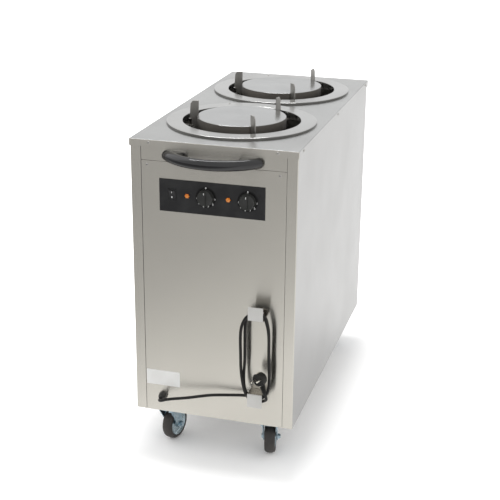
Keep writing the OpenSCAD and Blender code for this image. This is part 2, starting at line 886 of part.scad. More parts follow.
// Thermostat: a capsule body behind the panel with a threaded neck through it
module thermostats() {
  neck_out = 5;
  color([0.7, 0.68, 0.62])
    for (x = knob_x)
      translate([x, face_y, z_control])
        difference() {
          union() {
            translate([-thermo_half, sheet + 0.1, -thermo_half])
              cube([2 * thermo_half, 30, 2 * thermo_half]);
            translate([-12, sheet + 30, -12])
              cube([24, 12, 24]);
            rod_y(bush_hole_r - 0.1, -panel_t - neck_out, sheet + 2, 32);
            rod_y(8, -panel_t - 2.5, -panel_t, 6);
          }
          rod_y(spindle_r + run_fit, -panel_t - neck_out - 1, 20, 32);
        }
}

module dial_knob(i) {
  color(black)
    translate([knob_x[i], plate_y - knob_gap, z_control]) {
      difference() {
        union() {
          rotate([90, 0, 0])
            rotate_extrude($fn = 64)
              polygon([[0, 0], [knob_r, 0], [knob_r, knob_rim], [knob_r - 0.8, knob_rim + 1],
                [knob_face_r + 1, knob_face - 1.5], [knob_face_r, knob_face], [0, knob_face]]);
          intersection() {
            translate([0, 0, -knob_face_r])
              linear_extrude(2 * knob_face_r)
                polygon([[-knob_face_r, -knob_face + 1], [-knob_face_r + 3, -knob_face],
                  [-ridge_left, -knob_h], [ridge_right, -knob_h], [ridge_right, -knob_face + 1]]);
            rod_y(knob_face_r - 0.5, -knob_h - 1, 0, 64);
          }
        }
        rod_y(9, -6, 1, 40);
      }
      rod_y(spindle_r, -9, 14, 32);
    }
}

module terminal_block() {
  color([0.85, 0.85, 0.8])
    translate([block_x, block_y, z_tray_top])
      difference() {
        cube(block);
        for (k = [0 : 2])
          translate([block[0] / 2, 5 + 10 * k, 6])
            cylinder(r = 2.5, h = block[2], $fn = 24);
      }
}

// Wire k from the terminal block's side to one leg of well i's element, along the tray
function leg_wire(i, k) = let (
    zw = z_tray_top + loom_r,
    x0 = block_x + block[0],
    yb = block_y + 5 + 6 * k,
    yl = well_y[i] + element_ring * sin(leg_angles[k % 2]),
    xl = element_ring * cos(leg_angles[k % 2]),
    xr = wire_x[k])
  [[x0, yb, zw], [xr - 9, yb, zw], [xr - 2.6, yb + 2.6, zw], [xr, yb + 9, zw],
    [xr, yl - 9, zw], [xr + 2.6, yl - 2.6, zw], [xr + 9, yl, zw], [xl - 12, yl, zw],
    [xl - 3.5, yl, zw + 2.5], [xl, yl, zw + 8], [xl, yl, z_floor - leg_down]];

// Inner wiring: from the gland to the terminal block, up to the controls, and to the elements
module wiring_loom() {
  xb = block_x + block[0] / 2;
  zb = z_tray_top + block[2];
  z_feed = z_control - thermo_half - loom_r;
  supply = [[gland_x, face_y + gland_in, gland_z], [gland_x, face_y + 30, gland_z],
    [gland_x - 4, face_y + 44, gland_z - 1], [gland_x - 14, face_y + 58, gland_z - 5],
    [xb + 2, block_y, zb + 18], [xb, block_y + 5, zb + 9], [xb, block_y + 5, zb]];
  feed = [[xb, block_y + 25, zb], [xb, block_y + 25, z_control - 70],
    [xb + 3, block_y + 20, z_control - 45], [xb + 12, block_y, z_control - 28],
    [xb + 24, face_y + 42, z_feed], [xb + 40, face_y + 26, z_feed],
    [xb + 60, face_y + 20, z_feed], [knob_x[1] + thermo_half, face_y + 20, z_feed]];
  color([0.15, 0.15, 0.17]) {
    swept_tube(supply, loom_r, 8, [0, 0, 1]);
    swept_tube(feed, loom_r, 8, [1, 0, 0]);
    for (k = [0 : 3])
      swept_tube(leg_wire(floor(k / 2), k), loom_r, 8, [0, 0, 1]);
  }
}

module blank_label() {
  label = [102, 0.5, 47];
  color([0.93, 0.93, 0.92])
    translate([-153 - label[0] / 2, face_y - label[1], 236 - label[2] / 2])
      cube(label);
}

// ---------- handle ----------

module handle() {
  z = z_handle;
  y0 = face_y + bow_r - handle_bow;
  color(black)
    difference() {
      union() {
        intersection() {
          translate([0, y0, z])
            rotate([0, 0, -90 - bow_angle])
              rotate_extrude(angle = 2 * bow_angle, $fn = 96)
                translate([bow_r, 0])
                  circle(r = handle_r, $fn = 32);
          translate([-handle_half - 30, face_y - 2 * handle_bow, z - 40])
            cube([2 * handle_half + 60, 2 * handle_bow, 80]);
        }
        for (s = [-1, 1])
          hull() {
            translate([s * (handle_half - 14), face_y - 2, z])
              rod_y(handle_r - 1, 0, 2, 32);
            translate([s * foot_x, face_y - 2, z])
              rod_y(handle_r - 3, 0, 2, 32);
            translate([s * (handle_half - 20), face_y - 18, z])
              sphere(r = handle_r - 1, $fn = 32);
            translate([s * (handle_half - 34), face_y - 30, z])
              sphere(r = handle_r - 1.5, $fn = 32);
          }
      }
      for (x = [-handle_bolt_x, handle_bolt_x])
        translate([x, 0, z])
          rod_y(handle_bolt_r + 0.05, face_y - 16, face_y + 1, 32);
    }
}

module handle_bolts() {
  color(zinc)
    for (x = [-handle_bolt_x, handle_bolt_x])
      translate([x, face_y + sheet, z_handle]) {
        rod_y(handle_bolt_r, -sheet - 14, 2, 32);
        rod_y(9, 0, 1.6, 40);
        rod_y(7.5, 1.6, 6.6, 6);
      }
}

// ---------- lead ----------

module cable_gland() {
  color(black)
    translate([gland_x, face_y, gland_z])
      rotate([90, 0, 0]) {
        cylinder(r = gland_hex_r, h = 6, $fn = 6);
        rotate_extrude($fn = 40)
          polygon([[0, 0], [11.4, 0], [11.4, 12], [10.4, 15], [cord_r + 1.6, gland_out],
            [0, gland_out]]);
        translate([0, 0, -gland_in])
          cylinder(r = gland_neck_r, h = gland_in + 2, $fn = 40);
        translate([0, 0, -sheet - gland_nut_h])
          cylinder(r = gland_hex_r + 0.5, h = gland_nut_h, $fn = 6);
      }
}

module mains_cord() {
  color(black)
    swept_tube([for (p = route) [p[0], face_y - p[1], p[2]]], cord_r, cord_sides, [0, 0, 1]);
}

// Frame of the plug: the lead's end at the origin, local Z up the plug, pins towards local -Y
module at_plug() {
  e = route[len(route) - 1];
  translate([e[0], face_y - e[1], e[2]])
    rotate([0, -plug_tilt, plug_turn])
      children();
}

module mains_plug() {
  color(black)
    at_plug()
      difference() {
        union() {
          cylinder(r1 = cord_r + 1.2, r2 = 8.5, h = plug_relief, $fn = 32);
          translate([0, 0, plug_up])
            rotate([90, 0, 0])
              rotate_extrude($fn = 64)
                polygon([[0, -plug_deep / 2], [plug_r - 6, -plug_deep / 2],
                  [plug_r - 1.5, -plug_deep / 2 + 5], [plug_r, -plug_deep / 2 + 10],
                  [plug_r, plug_deep / 2], [0, plug_deep / 2]]);
        }
        for (s = [-1, 1]) {
          translate([s * pin_off, 0, plug_up])
            rod_y(pin_r + 0.02, -plug_deep, -plug_deep / 2 + pin_in, 24);
          translate([-clip_w / 2 - 0.1, -plug_deep, plug_up + s * plug_r - (s > 0 ? clip_t + 0.5 : 0.5)])
            cube([clip_w + 0.2, plug_deep + 4, clip_t + 1]);
        }
      }
}

// Two round pins and the two earth clips in the plug's rim
module plug_pins() {
  color([0.85, 0.83, 0.75])
    at_plug()
      for (s = [-1, 1]) {
        translate([s * pin_off, 0, plug_up])
          rod_y(pin_r, -plug_deep / 2 - pin_l, -plug_deep / 2 + pin_in, 24);
        translate([-clip_w / 2, -plug_deep / 2, plug_up + s * plug_r - (s > 0 ? clip_t + 0.5 : 0.5)])
          cube([clip_w, plug_deep / 2 + 4, clip_t + 0.5]);
      }
}

// Cord hook bent from sheet: a foot on the panel, an arm outwards and a lip. The lip
// points up (s = 1) or down (s = -1) from the arm at height z
module cord_hook(z, s) {
  translate([hook_x - hook_w / 2, face_y, z])
    mirror([0, 0, s > 0 ? 0 : 1]) {
      difference() {
        translate([0, -hook_t, 0])
          cube([hook_w, hook_t, hook_foot]);
        for (x = hook_screw_x)
          translate([hook_w / 2 + x - hook_x, 0, hook_foot / 2])
            rod_y(screw_hole_r, -hook_t - 1, 1, 24);
      }
      translate([0, -hook_gap - hook_t, 0])
        cube([hook_w, hook_gap + hook_t, hook_t]);
      translate([0, -hook_gap - hook_t, 0])
        cube([hook_w, hook_t, hook_lip]);
    }
}

module cord_hooks() {
  color([0.85, 0.85, 0.84]) {
    cord_hook(z_hook_hi, 1);
    cord_hook(z_hook_lo, -1);
  }
}

// ---------- fasteners ----------

module cover_screws() {
  color([0.5, 0.5, 0.5]) {
    for (x = [-lid_screw_x, lid_screw_x]) {
      translate([x, lid_y0, z_screw])
        rotate([90, 0, 0])
          pan_screw(4, screw_head, screw_r, screw_l);
      translate([x, lid_y1, z_screw])
        rotate([-90, 0, 0])
          pan_screw(4, screw_head, screw_r, screw_l);
    }
    for (y = side_screw_y)
      for (s = [-1, 1])
        translate([s * lid_w / 2, y, z_screw])
          rotate([0, s * 90, 0])
            pan_screw(4, screw_head, screw_r, screw_l);
    for (s = [-1, 1]) {
      translate([s * panel_screw_x, face_y, z_panel_screw])
        rotate([90, 0, 0])
          pan_screw(4, screw_head, screw_r, lug_in + 4);
      for (z = z_back_screws)
        translate([s * panel_screw_x, back_y, z])
          rotate([-90, 0, 0])
            pan_screw(4, screw_head, screw_r, lug_in + 4);
    }
    for (z = hook_screw_z)
      for (x = hook_screw_x)
        translate([x, face_y - hook_t, z])
          rotate([90, 0, 0])
            pan_screw(3, 1, screw_r, screw_l);
    for (i = [0, 1])
      at_well(i)
        rotate([0, 0, ring_screw_angle])
          translate([ring_screw_r, 0, z_ring])
            pan_screw(3, 1, ring_screw_hole_r - 0.1, 12);
  }
}

// ---------- casters ----------

module at_caster(c) {
  x = c[0] * (body_w / 2 - caster_in_x);
  y = c[1] < 0 ? face_y + caster_in_y : back_y - caster_in_y;
  translate([x, y, 0])
    children();
}

// Fixed half: the upper race and the king bolt that holds the fork to the tray
module caster_heads() {
  color(zinc)
    for (c = casters)
      at_caster(c) {
        translate([0, 0, z_head])
          cylinder(r = crown_r - 3, h = head_t, $fn = 48);
        translate([0, 0, z_crown - move_gap - 4])
          cylinder(r = king_r, h = z_tray + channel_h + 12 - z_crown + move_gap + 4, $fn = 40);
        translate([0, 0, z_crown - move_gap - 4])
          cylinder(r = king_head_r, h = 4, $fn = 40);
        translate([0, 0, z_tray + channel_h])
          cylinder(r = king_nut_r, h = king_nut_h, $fn = 6);
      }
}

// Leg outline in the plane of the wheel: along = backwards from the swivel axis
module leg_outline() {
  difference() {
    union() {
      polygon([[-27, z_crown + crown_t - 1], [22, z_crown + crown_t - 1], [trail + 12.6, wheel_r + 3],
        [trail + 6, wheel_r - 9], [trail - 11, wheel_r - 6]]);
      translate([trail, wheel_r])
        circle(r = 13, $fn = 40);
    }
    translate([trail, wheel_r])
      circle(r = axle_r + 0.1, $fn = 40);
  }
}

module caster_fork(k) {
  c = casters[k];
  color(zinc)
    at_caster(c)
      rotate([0, 0, c[2]]) {
        difference() {
          union() {
            translate([0, 0, z_crown])
              cylinder(r = crown_r, h = crown_t, $fn = 48);
            translate([0, 0, z_crown - 6])
              difference() {
                cylinder(r = crown_r, h = 7, $fn = 48);
                translate([0, 0, -1])
                  cylinder(r = crown_r - leg_t, h = 9, $fn = 48);
                translate([-fork_gap / 2, -crown_r - 1, -1])
                  cube([fork_gap, 2 * crown_r + 2, 9]);
              }
            for (s = [-1, 1])
              translate([s * (fork_gap + leg_t) / 2 - leg_t / 2, 0, 0])
                rotate([90, 0, 90])
                  linear_extrude(leg_t)
                    leg_outline();
          }
          translate([0, 0, z_crown - 1])
            cylinder(r = king_r + run_fit, h = crown_t + 2, $fn = 40);
        }
        translate([0, trail, wheel_r])
          rotate([0, 90, 0]) {
            translate([0, 0, -fork_gap / 2 - leg_t - 2])
              cylinder(r = axle_r, h = fork_gap + 2 * leg_t + axle_nut_h + 4, $fn = 40);
            translate([0, 0, -fork_gap / 2 - leg_t - axle_head_h])
              cylinder(r = axle_nut_r, h = axle_head_h, $fn = 6);
            translate([0, 0, fork_gap / 2 + leg_t])
              cylinder(r = axle_nut_r, h = axle_nut_h, $fn = 6);
          }
      }
}

module at_wheel(k) {
  c = casters[k];
  at_caster(c)
    rotate([0, 0, c[2]])
      translate([0, trail, wheel_r])
        rotate([0, 90, 0])
          children();
}

module caster_wheel(k) {
  hw = hub_w / 2;
  tw = tyre_w / 2;
  color([0.55, 0.57, 0.58])
    at_wheel(k)
      rotate_extrude($fn = 96)
        polygon([[axle_r + run_fit, -hw], [12, -hw], [14, -hw + 5], [28, -hw + 9],
          [rim_r - 3, -tw + 3], [rim_r, -tw + 3], [rim_r, tw - 3], [rim_r - 3, tw - 3],
          [28, hw - 9], [14, hw - 5], [12, hw], [axle_r + run_fit, hw]]);
}

module caster_tyre(k) {
  tw = tyre_w / 2;
  color([0.13, 0.11, 0.10])
    at_wheel(k)
      rotate_extrude($fn = 96)
        polygon([[rim_r + 0.05, -tw + 3], [rim_r + 1, -tw], [wheel_r - 7, -tw],
          [wheel_r - 3, -tw + 3], [wheel_r - 0.8, -tw + 8], [wheel_r, -tw + 12], [wheel_r, tw - 12],
          [wheel_r - 0.8, tw - 8], [wheel_r - 3, tw - 3], [wheel_r - 7, tw], [rim_r + 1, tw],
          [rim_r + 0.05, tw - 3]]);
}

// ---------- nodes ----------

base_tray();
side_panel(-1);  // left_side_panel
side_panel(1);  // right_side_panel
back_panel();
upper_front_panel();
access_panel();
lid_top();
well_ring(0);  // front_well_ring
well_ring(1);  // rear_well_ring
well_liner(0);  // front_well_liner
well_liner(1);  // rear_well_liner
guide_rods();
lift_springs(0);  // front_lift_springs
lift_springs(1);  // rear_lift_springs
platform(0);  // front_platform
platform(1);  // rear_platform
carrier(0);  // front_carrier
carrier(1);  // rear_carrier
slide_bushes(0);  // front_slide_bushes
slide_bushes(1);  // rear_slide_bushes
stop_buffers();
heating_elements();
plate_guide(0, guide_angles[0]);  // front_left_guide
plate_guide(0, guide_angles[1]);  // front_near_guide
plate_guide(0, guide_angles[2]);  // front_far_guide
plate_guide(1, guide_angles[0]);  // rear_left_guide
plate_guide(1, guide_angles[1]);  // rear_near_guide
plate_guide(1, guide_angles[2]);  // rear_far_guide
control_panel();
switch_housing();
switch_rocker();
lamp_bezels();
lamp_lenses();
thermostats();
dial_knob(0);  // front_dial_knob
dial_knob(1);  // rear_dial_knob
terminal_block();
wiring_loom();
handle();
handle_bolts();
cable_gland();
mains_cord();
mains_plug();
plug_pins();
cord_hooks();
blank_label();
cover_screws();
caster_heads();
caster_fork(0);  // front_left_fork
caster_fork(1);  // front_right_fork
caster_fork(2);  // rear_left_fork
caster_fork(3);  // rear_right_fork
caster_wheel(0);  // front_left_wheel
caster_wheel(1);  // front_right_wheel
caster_wheel(2);  // rear_left_wheel
caster_wheel(3);  // rear_right_wheel
caster_tyre(0);  // front_left_tyre
caster_tyre(1);  // front_right_tyre
caster_tyre(2);  // rear_left_tyre
caster_tyre(3);  // rear_right_tyre
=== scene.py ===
import math

import bmesh
import bpy
from mathutils import Matrix, Vector


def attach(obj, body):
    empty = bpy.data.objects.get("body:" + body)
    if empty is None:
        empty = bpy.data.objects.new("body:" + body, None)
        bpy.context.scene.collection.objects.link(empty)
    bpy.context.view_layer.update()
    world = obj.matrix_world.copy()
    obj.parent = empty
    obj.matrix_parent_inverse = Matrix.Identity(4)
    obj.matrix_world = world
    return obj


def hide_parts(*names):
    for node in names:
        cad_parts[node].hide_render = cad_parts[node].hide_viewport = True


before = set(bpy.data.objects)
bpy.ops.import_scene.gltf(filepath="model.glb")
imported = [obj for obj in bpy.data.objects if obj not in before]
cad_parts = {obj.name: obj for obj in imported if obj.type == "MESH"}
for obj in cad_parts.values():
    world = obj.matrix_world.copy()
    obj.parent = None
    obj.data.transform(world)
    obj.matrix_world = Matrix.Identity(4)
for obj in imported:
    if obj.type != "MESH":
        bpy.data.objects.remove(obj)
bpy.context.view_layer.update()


# Camera: a long lens, a little to the right of the cabinet's middle and above its lid,
# at the photograph's angle.
def placed(name, data):
    """Puts an object with the given data into the scene."""
    thing = bpy.data.objects.new(name, data)
    bpy.context.scene.collection.objects.link(thing)
    return thing


view_from = Vector((0.91464, -3.27719, 1.74070))
view_to = Vector((0.03859, -0.20865, 0.57152))
camera_roll = 0.0093
camera_data = bpy.data.cameras.new("camera")
camera_data.lens = 82.6
camera_data.sensor_width = 36
camera = placed("camera", camera_data)
bpy.context.scene.camera = camera
aim = (view_to - view_from).to_track_quat("-Z", "Y").to_matrix().to_4x4()
camera.matrix_world = Matrix.Translation(view_from) @ aim @ Matrix.Rotation(camera_roll, 4, "Z")


# Mains lead: 8.5 mm black rubber flex. It leaves the gland at the lower left, crosses the
# panel, makes two turns round both hooks and ends in the plug in front of the turns.
def feed(tree, node, inputs):
    """Sets each input of a node to a value, or links the socket that is given for it."""
    for name, value in inputs.items():
        if isinstance(value, bpy.types.NodeSocket):
            tree.links.new(value, node.inputs[name])
        else:
            node.inputs[name].default_value = value


def add_node(tree, kind, inputs=None, **settings):
    """A new shader node with its settings made and its inputs fed."""
    node = tree.nodes.new("ShaderNode" + kind)
    for name, value in settings.items():
        setattr(node, name, value)
    feed(tree, node, inputs or {})
    return node


def noise(tree, vector, scale, detail):
    """A noise texture's factor."""
    return add_node(tree, "TexNoise", {"Vector": vector, "Scale": scale, "Detail": detail}).outputs["Fac"]


def spread(tree, value, low, high, start=0.3, end=0.7):
    """Maps a factor from the range start to end onto the range low to high."""
    return add_node(tree, "MapRange", {"Value": value, "From Min": start, "From Max": end,
                                       "To Min": low, "To Max": high}).outputs["Result"]


def calculated(tree, operation, *values):
    """A Math node's result."""
    return add_node(tree, "Math", dict(enumerate(values)), operation=operation).outputs[0]


def mixed(tree, kind, factor, low, high):
    """Goes from low to high, colours or plain values, as the factor goes from 0 to 1."""
    return add_node(tree, "Mix", {"Factor": factor, "A": low, "B": high}, data_type=kind).outputs["Result"]


def surface_group(name, inputs):
    """A node group for a kind of surface: its tree, its input sockets and its output node."""
    tree = bpy.data.node_groups.new(name, "ShaderNodeTree")
    for label, kind in inputs.items():
        tree.interface.new_socket(label, in_out="INPUT", socket_type="NodeSocket" + kind)
    for label, kind in (("Colour", "Color"), ("Roughness", "Float"), ("Height", "Float")):
        tree.interface.new_socket(label, in_out="OUTPUT", socket_type="NodeSocket" + kind)
    return tree, tree.nodes.new("NodeGroupInput").outputs, tree.nodes.new("NodeGroupOutput")


def new_material(name):
    """A material, its node tree and the socket of its Object coordinates."""
    material = bpy.data.materials.new(name)
    material.use_nodes = True
    tree = material.node_tree
    return material, tree, add_node(tree, "TexCoord").outputs["Object"]


def cover(tree, group, values, bump, depth, shader_values):
    """Feeds a surface group's colour, roughness and relief to the material's own shader."""
    surface = add_node(tree, "Group", values, node_tree=group)
    relief = add_node(tree, "Bump", {"Strength": bump, "Distance": depth,
                                     "Height": surface.outputs["Height"]})
    feed(tree, tree.nodes["Principled BSDF"], {
        "Base Color": surface.outputs["Colour"], "Roughness": surface.outputs["Roughness"],
        "Normal": relief.outputs["Normal"], **shader_values})


moulded, given, result = surface_group("moulded surface", {
    "Place": "Vector", "Colour": "Color", "Dust": "Color", "Dust amount": "Float",
    "Roughness low": "Float", "Roughness high": "Float", "Grain scale": "Float"})
handling = noise(moulded, given["Place"], 22.0, 4)
dusty = calculated(moulded, "MULTIPLY", spread(moulded, handling, 0.0, 1.0, 0.42, 0.72), given["Dust amount"])
feed(moulded, result, {
    "Colour": mixed(moulded, "RGBA", dusty, given["Colour"], given["Dust"]),
    "Roughness": spread(moulded, handling, given["Roughness low"], given["Roughness high"]),
    "Height": noise(moulded, given["Place"], given["Grain scale"], 3)})


def moulded_material(name, colour, dust, amount, rough, grain_scale, bump, coat=0.0, gloss=0.5):
    """A plastic or rubber with moulding grain, handling marks and a little dust."""
    material, tree, place = new_material(name)
    cover(tree, moulded,
          {"Place": place, "Colour": (*colour, 1), "Dust": (*dust, 1), "Dust amount": amount,
           "Roughness low": rough[0], "Roughness high": rough[1], "Grain scale": grain_scale},
          bump, 0.0002, {"Coat Weight": coat, "Coat Roughness": 0.06, "Specular IOR Level": gloss})
    return material


def smooth_line(points, parts):
    """Points on a smooth curve through all the given points."""
    line = []
    for i in range(len(points) - 1):
        a = points[max(i - 1, 0)]
        b, c = points[i], points[i + 1]
        d = points[min(i + 2, len(points) - 1)]
        for k in range(parts):
            t = k / parts
            line.append(0.5 * (2 * b + (c - a) * t + (2 * a - 5 * b + 4 * c - d) * t * t
                               + (3 * b - a - 3 * c + d) * t ** 3))
    return line + [points[-1]]


# The route in millimetres: across, out from the front panels, and up.
lead_points = [
    (-154, 24, 180), (-154, 33, 180), (-149.5, 42, 183), (-140, 48, 188), (-126, 49, 193.5),
    (-105, 46.5, 198), (-87, 43.5, 200.5), (-58, 39, 205.5), (-29, 34, 211.5), (0, 29.5, 217),
    (28, 25.5, 220), (57, 22, 222.5), (85, 19, 225), (108, 17.5, 226), (124, 17.5, 226),
    (138, 17.5, 227), (151, 17.5, 230.5), (161, 18, 238.5), (167.5, 18.5, 250),
    (171, 19.5, 268), (172, 20.5, 297), (171, 22, 335), (170.5, 23.5, 375), (170.5, 24.5, 410),
    (169.5, 25, 436), (165.5, 25, 458), (160, 25, 476), (147, 25, 485), (134, 25, 487.5),
    (120, 25, 483.5), (108.5, 25, 473), (102.5, 25, 455), (101, 25, 430), (101, 25, 385),
    (101, 25.5, 340), (99, 25.5, 300), (99.5, 26, 270), (103, 26.5, 250), (110, 26.5, 235),
    (121, 26.5, 225.5), (135, 26.5, 222.5), (149, 26.5, 226.5), (161, 27, 237),
    (169.5, 28, 253), (173.5, 29, 275), (174.5, 30.5, 305), (173, 31.5, 340),
    (172.5, 32.5, 380), (172.5, 33.5, 415), (170.5, 34, 441), (166, 34.5, 463),
    (158, 34.5, 480.5), (143, 34.5, 488.5), (130, 34.5, 489), (116.5, 34.5, 483.5),
    (105, 34.5, 472.5), (96.5, 34.5, 455), (91.5, 34.5, 432), (90.5, 34.5, 400),
    (91.5, 35, 365), (92.5, 35, 325), (95, 35, 295), (100, 35.5, 266), (107, 35.5, 242),
    (117, 35.5, 228), (130, 35.5, 221), (143, 35.5, 221), (153, 35.5, 222.5), (161, 35.8, 226),
    (167, 39, 231), (170.3, 44, 237.5), (170.3, 48.5, 244.5), (168.6, 50.2, 251),
    (166.5, 49.5, 257),
]
front_face = -0.4456
lead_diameter = 0.0085
lead_line = [Vector((x / 1000, front_face - s / 1000, z / 1000)) for x, s, z in lead_points]
lead_smooth = smooth_line(lead_line, 5)
lead_curve = bpy.data.curves.new("mains_lead", "CURVE")
lead_curve.dimensions = "3D"
lead_curve.bevel_depth = lead_diameter / 2
lead_curve.bevel_resolution = 4
lead_curve.use_fill_caps = True
strand = lead_curve.splines.new("POLY")
strand.points.add(len(lead_smooth) - 1)
for point, spot in zip(strand.points, lead_smooth):
    point.co = (*spot, 1)
strand.use_smooth = True
rubber_black = moulded_material("black rubber", (0.010, 0.0095, 0.009), (0.05, 0.047, 0.043), 0.25,
                                (0.38, 0.52), 1400, 0.25, gloss=0.22)
lead_curve.materials.append(rubber_black)
lead = placed("mains_lead", lead_curve)
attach(lead, "cabinet")
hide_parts("mains_cord")


# Mains plug: a round moulded rubber plug with two nickel-plated pins and two earth clips in
# its rim. It is pushed in front of the turns, with its face forwards and to the left.
def finished(name, bm, body, material, nodes=(), bevel=0.0, wall=0.0, offset=-1.0, angle=35):
    """Turns a bmesh into a piece: edges rounded, walls thickened, flat faces kept flat."""
    mesh = bpy.data.meshes.new(name)
    bm.to_mesh(mesh)
    bm.free()
    mesh.materials.append(material)
    piece = placed(name, mesh)
    if bevel:
        round_edges(piece, bevel, 3, 30)
    if wall:
        thickness = piece.modifiers.new("wall", "SOLIDIFY")
        thickness.thickness = wall
        thickness.offset = offset
        thickness.use_even_offset = True
    piece.data = mesh_of(piece)
    piece.modifiers.clear()
    piece.data.name = name
    piece.data.shade_smooth()
    piece.data.set_sharp_from_angle(angle=math.radians(angle))
    keep_flat(piece)
    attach(piece, body)
    if nodes:
        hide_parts(*nodes)
    return piece


def round_edges(piece, width, segments, limit):
    """Rounds the edges whose faces turn by more than limit degrees."""
    rounding = piece.modifiers.new("rounding", "BEVEL")
    rounding.width = width
    rounding.segments = segments
    rounding.limit_method = "ANGLE"
    rounding.angle_limit = math.radians(limit)


def keep_flat(piece):
    """Keeps flat faces flat beside rounded edges."""
    even = piece.modifiers.new("even shading", "WEIGHTED_NORMAL")
    even.keep_sharp = True


def mesh_of(piece):
    """A new mesh of an object with its modifiers, or its text, worked in."""
    return bpy.data.meshes.new_from_object(piece.evaluated_get(bpy.context.evaluated_depsgraph_get()))


def spin_profile(profile, place=Matrix.Identity(4), steps=64):
    """A closed turned shape as a bmesh: the profile's points are (radius, height)."""
    bm = bmesh.new()
    verts = [bm.verts.new((radius, 0, height)) for radius, height in profile]
    edges = [bm.edges.new(pair) for pair in zip(verts, verts[1:])]
    if profile[0][0] > 0 and profile[-1][0] > 0:
        edges.append(bm.edges.new((verts[-1], verts[0])))
    bmesh.ops.spin(bm, geom=verts + edges, cent=(0, 0, 0), axis=(0, 0, 1), angle=2 * math.pi,
                   steps=steps, use_merge=True)
    bmesh.ops.remove_doubles(bm, verts=bm.verts, dist=1e-6)
    bmesh.ops.recalc_face_normals(bm, faces=bm.faces)
    bmesh.ops.transform(bm, matrix=place, verts=bm.verts)
    return bm


def join(bm, other):
    """Adds one bmesh to another."""
    spare = bpy.data.meshes.new("spare")
    other.to_mesh(spare)
    other.free()
    bm.from_mesh(spare)
    bpy.data.meshes.remove(spare)


def block(bm, low, high, place=Matrix.Identity(4)):
    """Adds a box between two corners to a bmesh."""
    low, high = Vector(low), Vector(high)
    fit = Matrix.Translation((low + high) / 2) @ Matrix.Diagonal((*(high - low), 1))
    bmesh.ops.create_cube(bm, size=1, matrix=place @ fit)


def turned(degrees, axis):
    """A turn about an axis."""
    return Matrix.Rotation(math.radians(degrees), 4, axis)


plug_frame = Matrix.Translation(lead_line[-1]) @ turned(-20, "Z") @ turned(-20, "Y")
plug_radius = 0.019
plug_half = 0.012
plug_middle = plug_frame @ Matrix.Translation((0, 0, 0.044)) @ turned(90, "X")
plug_mesh = spin_profile([
    (0, -plug_half), (0.0125, -plug_half), (0.0155, -0.0105), (0.0178, -0.0075),
    (plug_radius, -0.003), (plug_radius, 0.0105), (0.0185, 0.0116), (0.0177, plug_half),
    (0.0150, plug_half), (0.0147, 0.0108), (0, 0.0108)], plug_middle)
sleeve = [(0, 0), (0.0052, 0)]
for ridge in range(7):
    low = 0.002 + 0.0032 * ridge
    width = 0.0054 + 0.00035 * ridge
    sleeve += [(width, low), (width + 0.0007, low + 0.0006), (width + 0.0007, low + 0.0018),
               (width, low + 0.0024)]
sleeve += [(0.0086, 0.0275), (0, 0.0275)]
join(plug_mesh, spin_profile(sleeve, plug_frame, 32))
plug = finished("mains_plug_body", plug_mesh, "cabinet", rubber_black, ["mains_plug"])

# The pins' plating. Its group, a base metal with grain lines and cloudy handling marks, also
# serves the sheet, the turned rings, the springs and the zinc plate.
metal, given, result = surface_group("metal surface", {
    "Grain": "Vector", "Place": "Vector", "Colour": "Color", "Second colour": "Color",
    "Cloud scale": "Float", "Line contrast": "Float", "Roughness low": "Float", "Roughness high": "Float"})
lines = noise(metal, given["Grain"], 1.0, 3)
cloud = noise(metal, given["Place"], given["Cloud scale"], 4)
streak = calculated(metal, "MULTIPLY", spread(metal, lines, 0.0, 1.0), given["Line contrast"])
either = calculated(metal, "MULTIPLY_ADD", spread(metal, cloud, 0.0, 1.0, 0.35, 0.75), 0.5, streak)
feed(metal, result, {
    "Colour": mixed(metal, "RGBA", either, given["Colour"], given["Second colour"]),
    "Roughness": spread(metal, cloud, given["Roughness low"], given["Roughness high"]),
    "Height": lines})


def metal_material(name, colour, second, rough, stretch, centre=None, cloud_scale=6.0, contrast=0.3,
                   bump=0.05, anisotropic=0.0, tangent=None):
    """A metal. stretch is the grain's scale along X, Y and Z; with a centre the grain runs
    round it instead, as on a turned part."""
    material, tree, place = new_material(name)
    if centre is None:
        grain = add_node(tree, "Mapping", {"Vector": place, "Scale": stretch}).outputs["Vector"]
    else:
        flat = add_node(tree, "Mapping", {"Vector": place, "Location": (-centre[0], -centre[1], 0),
                                          "Scale": (1, 1, 0)}).outputs["Vector"]
        reach = add_node(tree, "VectorMath", {0: flat}, operation="LENGTH").outputs["Value"]
        grain = add_node(tree, "CombineXYZ", {
            "X": calculated(tree, "MULTIPLY", reach, stretch[0])}).outputs[0]
    finish = {"Metallic": 1.0, "Anisotropic": anisotropic, "Anisotropic Rotation": 0.25}
    if tangent:
        finish["Tangent"] = add_node(tree, "Tangent", direction_type="RADIAL", axis=tangent).outputs[0]
    cover(tree, metal,
          {"Grain": grain, "Place": place, "Colour": (*colour, 1), "Second colour": (*second, 1),
           "Cloud scale": cloud_scale, "Line contrast": contrast, "Roughness low": rough[0],
           "Roughness high": rough[1]}, bump, 0.0001, finish)
    return material


nickel = metal_material("nickel plate", (0.88, 0.85, 0.76), (0.70, 0.66, 0.56), (0.24, 0.38),
                        (300, 300, 300), cloud_scale=60)
pins_mesh = bmesh.new()
for side in (-1, 1):
    join(pins_mesh, spin_profile(
        [(0, plug_half - 0.004), (0.0024, plug_half - 0.004), (0.0024, 0.0292), (0.0021, 0.0304),
         (0.0013, 0.0309), (0, 0.0310)],
        plug_middle @ Matrix.Translation((side * 0.0095, 0, 0)), 24))
    block(pins_mesh, (-0.0025, side * 0.0186 - 0.0008, -0.004),
          (0.0025, side * 0.0186 + 0.0008, plug_half - 0.0004), plug_middle)
pins = finished("plug_pins_and_clips", pins_mesh, "cabinet", nickel, ["plug_pins"])


